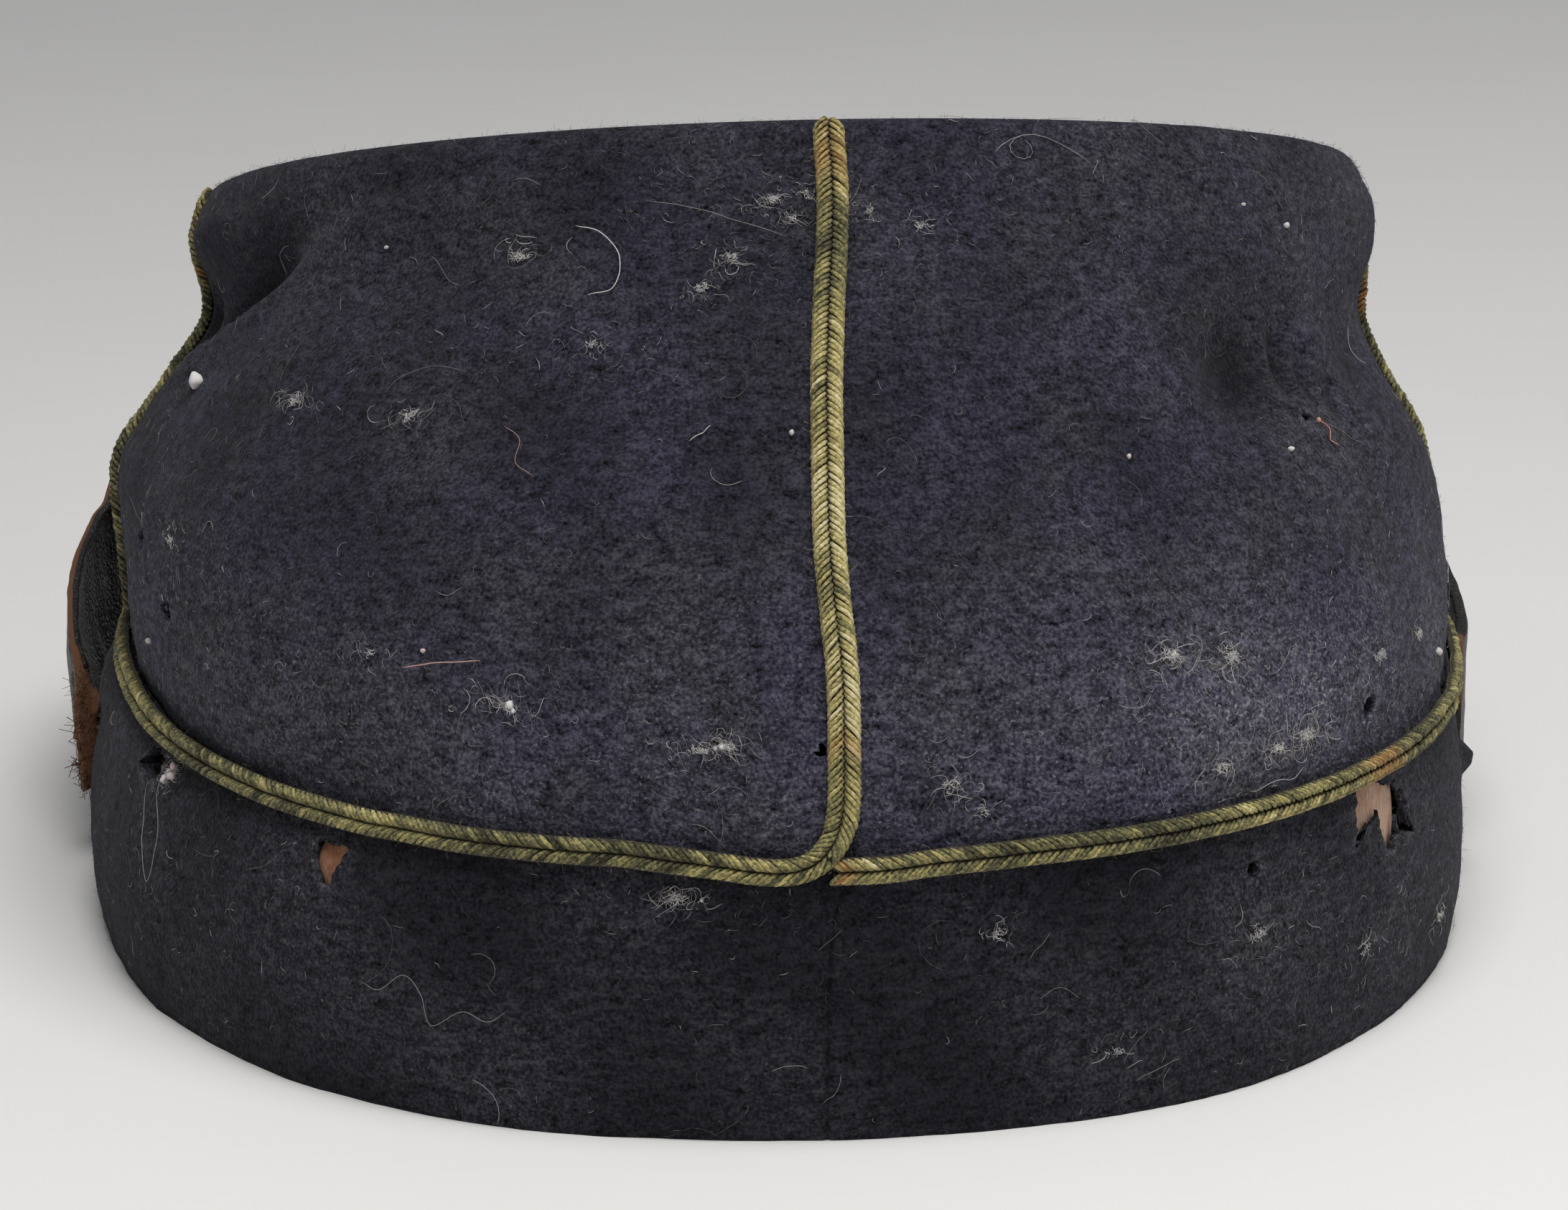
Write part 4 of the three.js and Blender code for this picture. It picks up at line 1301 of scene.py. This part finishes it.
steps = np.linspace(0, strap_length, 360)
at, out, across = frame_at(strap_frames, steps)
section = ribbon_section(STRAP_WIDTH, STRAP_THICKNESS, 0.5)
over, high = section.T
points = at[:, None] + across[:, None] * over[:, None] + out[:, None] * high[:, None]
torn = near(steps[:, None], TORN_REACH) + 0 * over
frayed = torn * (waves(points, FRAY_WAVES) - 0.28 * over)
swollen = torn * (0.9 * (high < STRAP_THICKNESS / 2) + 0.35 * ripple(points, 2.2, 46))
wavy = waves(points, STRAP_WAVES)
# Towards the torn end the lower edge has curled in, close to the band
curl = near(steps[:, None] - CURL_PLACE, CURL_SPREAD) * np.clip(0.3 + over / STRAP_WIDTH * 1.6, 0, 1) ** 2
points = points + across[:, None] * (frayed + 0.4 * wavy + 3.8 * curl)[..., None]
points = points + out[:, None] * (np.abs(0.6 * wavy) - swollen - 1.9 * curl)[..., None]
cut_edge = np.clip((np.abs(over) - STRAP_WIDTH / 2 + 0.5) / 0.4, 0, 1)
cut_edge = cut_edge * np.clip(high / STRAP_THICKNESS * 3 - 1, 0, 1)
left_half = np.clip(1.5 - steps[:, None] / 60, 0.2, 1)
right_end = near(strap_length - steps[:, None], 2.5) * np.clip(0.75 - over / 8, 0, 1)
raw = np.clip(0.9 * cut_edge * left_half + 0.9 * torn + 0.9 * right_end, 0, 1)
rows, cols = points.shape[:2]
faces = grid_cells(rows, cols, wraps=True).reshape(-1, 4)
ends = end_caps(rows, cols)
strap_parts = [(points.reshape(-1, 3), faces, {"raw": raw.ravel()})]
print("the strap's skin has", rows, "by", cols, "points")

# %% [markdown]
# Torn leather ends in fibres. A few hundred short stubs hang from the torn end, spread over its width and
# thickness, and are joined with the strap in one mesh.

# %% Torn end
chance = np.random.default_rng(45)
count = FRINGE_COUNT
where = np.abs(chance.normal(0, 2.5, count))
root, fringe_out, fringe_across = frame_at(strap_frames, where)
root = root + fringe_across * chance.uniform(-0.5, 0.5, (count, 1)) * STRAP_WIDTH
root = root + fringe_out * chance.uniform(0.2, 1.0, (count, 1)) * STRAP_THICKNESS
lean = unit(chance.normal(0, 0.5, (count, 3)) - strap_along[0] * 1.0 - fringe_across * 0.4 + fringe_out * 0.4)
reach = chance.uniform(0.6, 2.2, (count, 1))
fringe = stub_paths(root, lean, reach, 0.5, chance.normal(0, 0.3, (count, 3)))
fringe_points, fringe_faces = tube_mesh(fringe, np.tile(chance.uniform(0.02, 0.06, (count, 1)), (1, 3)), 3)
strap_parts.append((fringe_points, fringe_faces, {"raw": np.ones(len(fringe_points))}))
points, faces, painted = join(strap_parts)
strap = make_piece("chin_strap_leather", points, faces.tolist() + ends, leather, "leather", **painted)
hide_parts("chin_strap")

# %% [markdown]
# The peak is hidden behind the cap in the photograph, so it stays plain: a crescent of the same black
# leather with rounded, slightly rubbed edges, standing out from the front of the band. Its section runs
# along the underside, round the outer edge and back over the top, at every angle across the front.

# %% Peak
PEAK_END_REACH, PEAK_HALF_ANGLE, PEAK_THICKNESS = 1.5, 58.0, 2.4
PEAK_SEAM_HEIGHT, PEAK_TIP_HEIGHT = 4.2, 0.4


def peak_points():
    """Grid of the peak's skin, section points by angles, and how near each is to the outer edge."""
    angles = np.linspace(180 - PEAK_HALF_ANGLE, 180 + PEAK_HALF_ANGLE, 110)
    bend = np.radians(np.linspace(-90, 90, 7))
    half = PEAK_THICKNESS / 2
    inwards = np.linspace(0, 1, 22)
    t = np.concatenate([inwards, np.ones(7), inwards[::-1]])
    push = np.concatenate([0 * inwards, half * (np.cos(bend) - 1), 0 * inwards])
    lift = np.concatenate([0 * inwards, half + half * np.sin(bend), 0 * inwards + PEAK_THICKNESS])
    swell = np.maximum(0, np.cos(np.abs(angles - 180) / PEAK_HALF_ANGLE * math.pi / 2)) ** 1.1
    reach = PEAK_END_REACH + (PEAK_REACH - PEAK_END_REACH) * swell
    seam_height = PEAK_SEAM_HEIGHT + PEAK_THICKNESS
    run = t[:, None] * reach
    outwards = (GAP + 0.1 + run + push[:, None])[..., None]
    points = band_skin(angles, seam_height) + band_normal(angles, seam_height) * outwards
    drop = (PEAK_TIP_HEIGHT - PEAK_SEAM_HEIGHT) * run / PEAK_REACH
    points[..., 2] = PEAK_SEAM_HEIGHT + drop + lift[:, None]
    return points, near(reach - run, 1.6)


points, edge = peak_points()
rows, cols = points.shape[:2]
faces = grid_cells(cols, rows, wraps=True).reshape(-1, 4).tolist() + end_caps(cols, rows)
points, edge = points.swapaxes(0, 1).reshape(-1, 3), edge.T
peak = make_piece("peak_leather", points, faces, leather, "leather", raw=0.45 * edge)
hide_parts("peak")

# %% [markdown]
# Lint is what makes this cap look old. Most of it is fine and dim, a few hairs are pale and long, small
# webs of white fluff cling here and there, and a short nap stands off the wool. Every fibre is a thin
# tapered tube that walks over the finished cloth: a place for its middle, a heading that wanders, and a
# little height. Thousands are joined in one mesh, which costs less than a hair system and can be carried
# with the part.

# %% Fibre finish and paths
LINT_TONES = (
    (0.0, from_screen(66, 64, 70)),
    (0.45, from_screen(120, 116, 114)),
    (0.75, from_screen(190, 186, 182)),
    (1.0, from_screen(232, 229, 226)),
)
PINK = from_screen(214, 150, 130)


def lint_finish():
    finish = Finish("lint", roughness=0.9, sheen=0.1, specular=0.15)
    colour = finish.node("ShaderNodeValToRGB", {"stops": LINT_TONES}, {"Fac": finish.painted("tone")})
    finish.feed("Base Color", finish.mix(finish.painted("pink"), colour, PINK))
    return finish.material


def walk_fibres(cloth, angle, rise, length, wander, lift, seed, steps, low, high):
    """Paths that wander over a cloth; one row per fibre."""
    chance = np.random.default_rng(seed)
    count = len(angle)
    inside = np.clip(rise, low + 0.5, high - 0.5)
    per_angle = np.linalg.norm(cloth(angle + 0.5, inside) - cloth(angle - 0.5, inside), axis=-1)
    per_rise = np.linalg.norm(cloth(angle, inside + 0.5) - cloth(angle, inside - 0.5), axis=-1)
    bend = chance.normal(0, wander, (count, 1))
    bend = bend + chance.normal(0, wander * 0.8, (count, steps)).cumsum(1) * 0.5
    course = chance.uniform(0, 2 * math.pi, (count, 1)) + np.cumsum(bend, 1) / steps * 3
    stride = (length / steps)[:, None]
    along, up = np.cumsum(stride * np.cos(course), 1), np.cumsum(stride * np.sin(course), 1)
    # Each fibre has its middle at its place
    angles = angle[:, None] + (along - along.mean(1, keepdims=True)) / per_angle[:, None]
    rises = rise[:, None] + (up - up.mean(1, keepdims=True)) / per_rise[:, None]
    # A fibre that would leave the cloth turns back
    rises = low + np.abs(rises - low)
    rises = np.maximum(high - np.abs(high - rises), low)
    above = lift * (0.3 + np.abs(np.sin(np.linspace(0, 3, steps) + chance.uniform(0, 3, (count, 1)))))
    return cloth(angles, rises) + normal_of(cloth, angles, rises, low, high) * above[..., None]


def fibre_part(paths, radius, tones, pink=0.0, sides=3):
    """Fibres as one lump of mesh, tapered at both ends."""
    steps = paths.shape[1]
    taper = np.minimum(1, 0.3 + 2.5 * np.sin(np.linspace(0, math.pi, steps)))
    points, faces = tube_mesh(paths, radius[:, None] * taper, sides)
    painted = {"tone": np.repeat(tones, steps * sides), "pink": np.repeat(pink + 0 * tones, steps * sides)}
    return points, faces, painted


lint = lint_finish()
print("lint finish", lint.name)

# %% [markdown]
# Loose hairs lie anywhere; short bits gather in patches that the photograph shows. Both are drawn at
# random with fixed seeds, and most get a dim tone, because bright lint is rare even on a dusty cap.

# %% Lint
# Columns: finished cloth, lowest and highest place, slot
CLOTHS = {
    "crown": (crown_cloth, 3.0, 108.0, "crown_wool"),
    "band": (band_cloth, 0.3, SEAM_HEIGHT - 2.2, "band_wool"),
}
# Where short lint lies thicker: angle, rise, spread in degrees and in rise, how many
LINT_PATCHES = {
    "crown": (
        (-8, 87, 7, 6, 420), (10, 88, 8, 5, 160), (37, 14, 8, 7, 900), (-22, 66, 8, 5, 160),
        (-55, 14, 10, 8, 260), (-62, 30, 7, 9, 160), (-24, 18, 6, 4, 160), (-9, 15, 4, 4, 120),
        (52, 32, 8, 10, 160), (30, 22, 5, 3, 260),
    ),
    "band": ((46, 13, 9, 6, 260), (-55, 20, 8, 7, 180), (-10, 27, 5, 2, 80)),
}


def lay_lint(part, hairs, bits, seed):
    """Loose hairs and short bits, most of them dim."""
    chance = np.random.default_rng(seed)
    cloth, low, high, slot = CLOTHS[part]
    angle, rise = chance.uniform(-180, 180, hairs), chance.uniform(low, high, hairs)
    length = chance.gamma(3.0, 1.8, hairs)
    walk = {"wander": 0.8, "lift": 0.22, "seed": seed + 2, "steps": 10, "low": low, "high": high}
    paths = walk_fibres(cloth, angle, rise, length, **walk)
    tones = chance.beta(1.6, 2.2, hairs)
    parts = [fibre_part(paths, chance.uniform(0.014, 0.03, hairs), tones)]
    angle, rise = chance.uniform(-180, 180, bits), chance.uniform(low, high, bits)
    first = 0
    for middle, place_rise, degrees, spread, count in LINT_PATCHES[part]:
        angle[first:first + count] = chance.normal(middle, degrees, count)
        rise[first:first + count] = np.clip(chance.normal(place_rise, spread, count), low, high)
        first += count
    length = chance.uniform(0.4, 2.4, bits)
    walk = {"wander": 0.9, "lift": 0.16, "seed": seed + 4, "steps": 4, "low": low, "high": high}
    paths = walk_fibres(cloth, angle, rise, length, **walk)
    tones = chance.beta(1.3, 2.0, bits)
    parts.append(fibre_part(paths, chance.uniform(0.01, 0.03, bits), tones))
    points, faces, painted = join(parts)
    make_piece("lint_" + part, points, faces, lint, slot, **painted)


lay_lint("crown", hairs=420, bits=5400, seed=50)
lay_lint("band", hairs=130, bits=1400, seed=60)

# %% [markdown]
# A few marks can be told apart in the photograph, so each has its own place: webs of white fluff, solid
# little pills of felted lint, and single hairs that curl. A web is a heap of short fibres stretched along
# one way round a denser core. A pill is a small uneven ball. A hair is a smooth curve through the places
# it crosses.

# %% Places of fluff, pills and hairs
# Columns: angle, rise, reach along and up in millimetres, fibres
CROWN_FLUFF = (
    (-25.3, 18.2, 2.2, 1.1, 60), (-8.0, 15.0, 1.6, 0.9, 90), (-10.0, 14.5, 2.0, 0.6, 50),
    (28.0, 22.5, 1.8, 1.2, 120), (34.0, 21.0, 1.8, 1.5, 100), (41.0, 8.5, 2.4, 1.1, 120),
    (37.5, 8.0, 1.8, 1.0, 70), (31.5, 7.5, 2.2, 1.0, 50), (61.0, 14.5, 1.6, 1.2, 44),
    (52.0, 15.5, 1.6, 1.2, 44), (9.0, 10.0, 1.6, 1.3, 50), (11.5, 6.0, 1.2, 1.2, 34),
    (-4.5, 90.0, 1.6, 1.0, 60), (-3.0, 87.0, 1.4, 0.8, 40), (-8.5, 80.5, 1.8, 1.4, 44),
    (-11.0, 75.5, 1.8, 1.4, 40), (8.5, 85.5, 1.4, 1.0, 40), (4.0, 88.0, 1.2, 0.8, 30),
    (-1.5, 90.8, 1.0, 0.8, 30), (-20.0, 66.8, 1.6, 1.0, 30), (-28.0, 82.0, 2.4, 1.2, 44),
    (-50.0, 57.5, 2.4, 1.4, 50), (-36.5, 56.5, 2.4, 1.4, 40), (-62.0, 32.0, 1.5, 1.0, 22),
    (-36.8, 22.8, 1.4, 0.8, 24), (130.0, 60.0, 1.8, 1.0, 30), (-140.0, 50.0, 1.8, 1.0, 30),
    (165.0, 70.0, 1.6, 1.0, 26), (-110.0, 30.0, 1.8, 1.0, 30),
)
BAND_FLUFF = (
    (-12.0, 28.0, 2.2, 0.8, 70), (35.0, 18.0, 2.4, 1.4, 44), (47.0, 11.2, 1.8, 1.2, 30),
    (13.0, 23.2, 1.4, 1.0, 36), (61.0, 8.0, 1.8, 1.2, 30), (22.5, 8.0, 1.6, 1.0, 24),
    (-61.8, 27.7, 1.1, 1.2, 130), (120.0, 14.0, 1.8, 1.0, 26), (-130.0, 18.0, 1.8, 1.0, 26),
)
# Columns: angle, rise, radius in millimetres, tone, pinkness
CROWN_PILLS = (
    (-70.4, 59.9, 1.05, 0.98, 0.03), (-71.0, 11.2, 0.4, 0.8, 0.1), (67.0, 8.2, 0.45, 0.85, 0.0),
    (27.5, 49.2, 0.3, 0.9, 0.2), (45.5, 47.8, 0.34, 0.95, 0.05), (43.0, 89.0, 0.26, 0.8, 0.0),
    (49.5, 85.8, 0.36, 0.9, 0.0), (-2.0, 54.0, 0.3, 0.85, 0.0), (-32.0, 24.0, 0.3, 0.8, 0.3),
    (-43.5, 85.2, 0.26, 0.75, 0.0), (-25.0, 18.6, 0.4, 0.95, 0.0), (-8.4, 15.0, 0.34, 0.95, 0.0),
    (-8.9, 14.8, 0.26, 0.95, 0.0), (28.4, 22.6, 0.34, 0.95, 0.05), (-24.8, 17.9, 0.28, 0.95, 0.0),
    (51.5, 51.8, 0.3, 0.5, 0.9),
)
BAND_PILLS = (
    (-61.8, 28.5, 0.55, 0.75, 0.25), (-61.4, 27.6, 0.5, 0.8, 0.15), (-62.0, 26.9, 0.5, 0.85, 0.1),
    (-10.0, 27.8, 0.24, 0.85, 0.0), (61.0, 8.2, 0.3, 0.8, 0.0),
)
# Columns: cloth, radius, tone, pinkness, places of [angle, rise] that the hair crosses
LONG_HAIRS = (
    ("crown", 0.055, 0.9, 0.0, ((-22.5, 86.4), (-20.2, 85.0), (-18.5, 81.0), (-18.8, 75.8), (-21.0, 74.4))),
    ("crown", 0.05, 0.85, 0.0, ((-10.5, 52.8), (-9.6, 53.7), (-8.8, 54.8))),
    ("crown", 0.028, 0.6, 0.0, ((-15.8, 90.2), (-10.0, 88.0), (-3.7, 84.2))),
    ("crown", 0.05, 0.45, 0.25, ((-26.8, 54.8), (-25.0, 52.6), (-24.8, 49.2), (-22.8, 47.0))),
    ("crown", 0.06, 0.7, 0.6, ((-34.0, 21.5), (-30.5, 22.8), (-27.0, 23.5))),
    ("crown", 0.06, 0.4, 0.95, ((51.5, 51.8), (52.2, 50.0), (51.9, 48.2), (52.5, 47.0))),
    ("band", 0.028, 0.6, 0.0, (
        (-35.2, 14.4), (-33.5, 14.0), (-31.6, 16.2), (-30.0, 14.2),
        (-29.2, 11.0), (-26.8, 13.2), (-24.8, 12.4), (-23.4, 13.8),
    )),
    ("band", 0.028, 0.7, 0.0, ((-64.5, 25.7), (-62.5, 20.0), (-60.7, 15.3), (-60.4, 20.8), (-62.2, 26.4))),
)
print("webs", len(CROWN_FLUFF + BAND_FLUFF), "pills", len(CROWN_PILLS + BAND_PILLS), "hairs", len(LONG_HAIRS))

# %% [markdown]
# Half of a web's fibres lie close to its middle, short and pale; the others reach further and are dimmer,
# so that the web thins out into the cloth.

# %% Fluff, pills and long hairs


def fluff_part(part, clumps, seed):
    """Webs of fibres, denser towards each clump's middle."""
    chance = np.random.default_rng(seed)
    cloth, low, high, _ = CLOTHS[part]
    rows = np.concatenate([np.repeat([clump[:4]], clump[4], 0) for clump in clumps])
    in_core = chance.uniform(0, 1, len(rows)) < 0.5
    spread = np.where(in_core, 0.3, 1.1)
    angle = rows[:, 0] + chance.normal(0, 1, len(rows)) * spread * rows[:, 2] / SIDE_MM_PER_DEGREE
    rise = np.clip(rows[:, 1] + chance.normal(0, 1, len(rows)) * spread * rows[:, 3], low, high)
    short, long = chance.uniform(0.3, 0.9, len(rows)), chance.uniform(0.6, 2.2, len(rows))
    length = rows[:, 2] * np.where(in_core, short, long)
    walk = {"wander": 0.8, "lift": 0.4, "seed": seed, "steps": 7, "low": low, "high": high}
    paths = walk_fibres(cloth, angle, rise, length, **walk)
    bright, dim = chance.uniform(0.85, 1.0, len(rows)), chance.uniform(0.3, 0.85, len(rows))
    tones = np.where(in_core, bright, dim)
    return fibre_part(paths, chance.uniform(0.018, 0.04, len(rows)), tones)


def pill_part(part, pills, seed):
    """Small uneven balls sitting on the cloth."""
    cloth, low, high, _ = CLOTHS[part]
    chance = np.random.default_rng(seed)
    rings, spokes = np.radians(np.linspace(4, 176, 8)), np.radians(np.linspace(0, 360, 11)[:-1])
    across, up = np.meshgrid(spokes, rings)
    ball = np.stack([np.sin(up) * np.cos(across), np.sin(up) * np.sin(across), np.cos(up)], -1)
    cells = grid_cells(*ball.shape[:2], wraps=True).reshape(-1, 4)
    parts = []
    for angle, rise, radius, tone, pink in pills:
        middle = cloth(np.array(angle), np.array(rise))
        middle = middle + 0.5 * radius * normal_of(cloth, angle, rise, low, high)
        uneven = 1 + 0.12 * ripple(ball + chance.uniform(0, 50, 3), 1.3, seed)
        squash = chance.uniform(0.8, 1.2, 3)
        plain = np.ones(ball.size // 3)
        points = middle + (ball * squash * uneven[..., None] * radius).reshape(-1, 3)
        parts.append((points, cells, {"tone": tone * plain, "pink": pink * plain}))
    return join(parts)


def hair_part(part, radius, tone, pink, stops, steps=40):
    """One long hair through its places, lifting off here and there."""
    cloth, low, high, _ = CLOTHS[part]
    line = catmull(np.array(stops, float), 20)
    even = np.linspace(0, len(line) - 1, steps)
    angle, rise = (np.interp(even, np.arange(len(line)), column) for column in line.T)
    above = 0.2 + 0.3 * np.abs(np.sin(np.linspace(0, 5, steps)))
    path = cloth(angle, rise) + normal_of(cloth, angle, rise, low, high) * above[:, None]
    return fibre_part(path[None], np.array([radius]), np.array([tone]), pink, sides=5)


for part, clumps, pills in (("crown", CROWN_FLUFF, CROWN_PILLS), ("band", BAND_FLUFF, BAND_PILLS)):
    parts = [fluff_part(part, clumps, seed=71), pill_part(part, pills, seed=72)]
    parts += [hair_part(*hair) for hair in LONG_HAIRS if hair[0] == part]
    points, faces, painted = join(parts)
    make_piece("fluff_" + part, points, faces, lint, CLOTHS[part][3], **painted)

# %% [markdown]
# Wool never has a clean outline: the nap stands off it and shows against the light, above all along the
# skyline. Short three-point tubes are enough for that. They lean every way, are as dark as the cloth, and
# a share of them is kept for the turned edge at the top, where they show against the background.

# %% Nap standing off the wool
NAP_DARK, NAP_PALE = from_screen(34, 33, 42), from_screen(84, 82, 88)
NAP_FLOOR = 0.05
TURNED_EDGE = (98, 107)


def nap_finish():
    finish = Finish("nap", roughness=0.95, sheen=0.1, specular=0.1)
    finish.feed("Base Color", finish.mix(finish.painted("tone"), NAP_DARK, NAP_PALE))
    return finish.material


def nap_piece(part, count, at_edge, seed):
    """Short fibres that stand out at a slant, some of them kept for the top's edge."""
    chance = np.random.default_rng(seed)
    cloth, low, high, slot = CLOTHS[part]
    angle, rise = chance.uniform(-180, 180, count), chance.uniform(low, high, count)
    rise[:at_edge] = chance.uniform(*TURNED_EDGE, at_edge)
    root = cloth(angle, rise)
    normal = normal_of(cloth, angle, rise, low, high)
    lean = unit(normal * chance.uniform(0.25, 1.0, (count, 1)) + 0.6 * chance.normal(size=(count, 3)))
    lean = unit(lean + normal * np.maximum(0, 0.25 - (lean * normal).sum(-1, keepdims=True)))
    length = chance.uniform(0.3, 0.8, (count, 1))
    paths = stub_paths(root, lean, length, 0.55, chance.normal(0, 0.3, (count, 3)))
    paths[..., 2] = np.maximum(paths[..., 2], NAP_FLOOR)
    tones = chance.uniform(0, 1, count) ** 1.5
    points, faces, painted = fibre_part(paths, chance.uniform(0.012, 0.024, count), tones)
    make_piece("nap_" + part, points, faces, nap, slot, tone=painted["tone"])


nap = nap_finish()
nap_piece("crown", count=7600, at_edge=1800, seed=80)
nap_piece("band", count=2600, at_edge=0, seed=81)

# %% [markdown]
# The stage is a wide pale floor under soft light from large lamps, with nothing else in view. One broad
# lamp overhead, on the camera's side of the cap, gives the gentle top light of the photograph, and two
# weak ones at the sides keep the dark wool readable.

# %% Floor and light
FLOOR_SIZE = 6.0
FLOOR_TONES = from_screen(238, 236, 233), from_screen(243, 241, 239)
# Columns: name, place in metres, size in metres, power in watts
LAMPS = (
    ("overhead", (0.2, -0.5, 1.3), 1.1, 19.5),
    ("left", (-1.0, -0.9, 0.7), 0.8, 3.2),
    ("right", (1.0, -0.9, 0.7), 0.8, 6.5),
)
LAMP_AIM = np.array([0, 0, 0.05])
WORLD_COLOUR, WORLD_STRENGTH = (0.62, 0.63, 0.65, 1), 0.35


def floor_finish():
    finish = Finish("floor", roughness=0.7, specular=0.2)
    cloud = finish.noise(60, 3)
    finish.feed("Base Color", finish.mix(cloud, *FLOOR_TONES))
    return finish.material


half = FLOOR_SIZE / 2
floor_mesh = bpy.data.meshes.new("floor")
corners = [(-half, -half, 0), (half, -half, 0), (half, half, 0), (-half, half, 0)]
floor_mesh.from_pydata(corners, [], [(0, 1, 2, 3)])
floor_mesh.materials.append(floor_finish())
floor = bpy.data.objects.new("floor", floor_mesh)
bpy.context.collection.objects.link(floor)


def soft_lamp(name, location, size, power):
    """A round area lamp turned towards the cap."""
    data = bpy.data.lights.new(name, "AREA")
    data.shape = "DISK"
    data.size = size
    data.energy = power
    lamp = bpy.data.objects.new(name, data)
    lamp.location = location
    direction = LAMP_AIM - np.array(location, float)
    yaw = math.atan2(direction[1], direction[0])
    pitch = math.acos(direction[2] / np.linalg.norm(direction))
    lamp.rotation_euler = (math.pi - pitch, 0, yaw + math.pi / 2)
    bpy.context.collection.objects.link(lamp)


for lamp in LAMPS:
    soft_lamp(*lamp)
world = bpy.data.worlds.new("studio")
world.use_nodes = True
background = world.node_tree.nodes["Background"]
background.inputs["Color"].default_value = WORLD_COLOUR
background.inputs["Strength"].default_value = WORLD_STRENGTH
bpy.context.scene.world = world
bpy.context.scene.view_settings.view_transform = "Standard"
print("a floor", FLOOR_SIZE, "m wide and", len(LAMPS), "lamps")
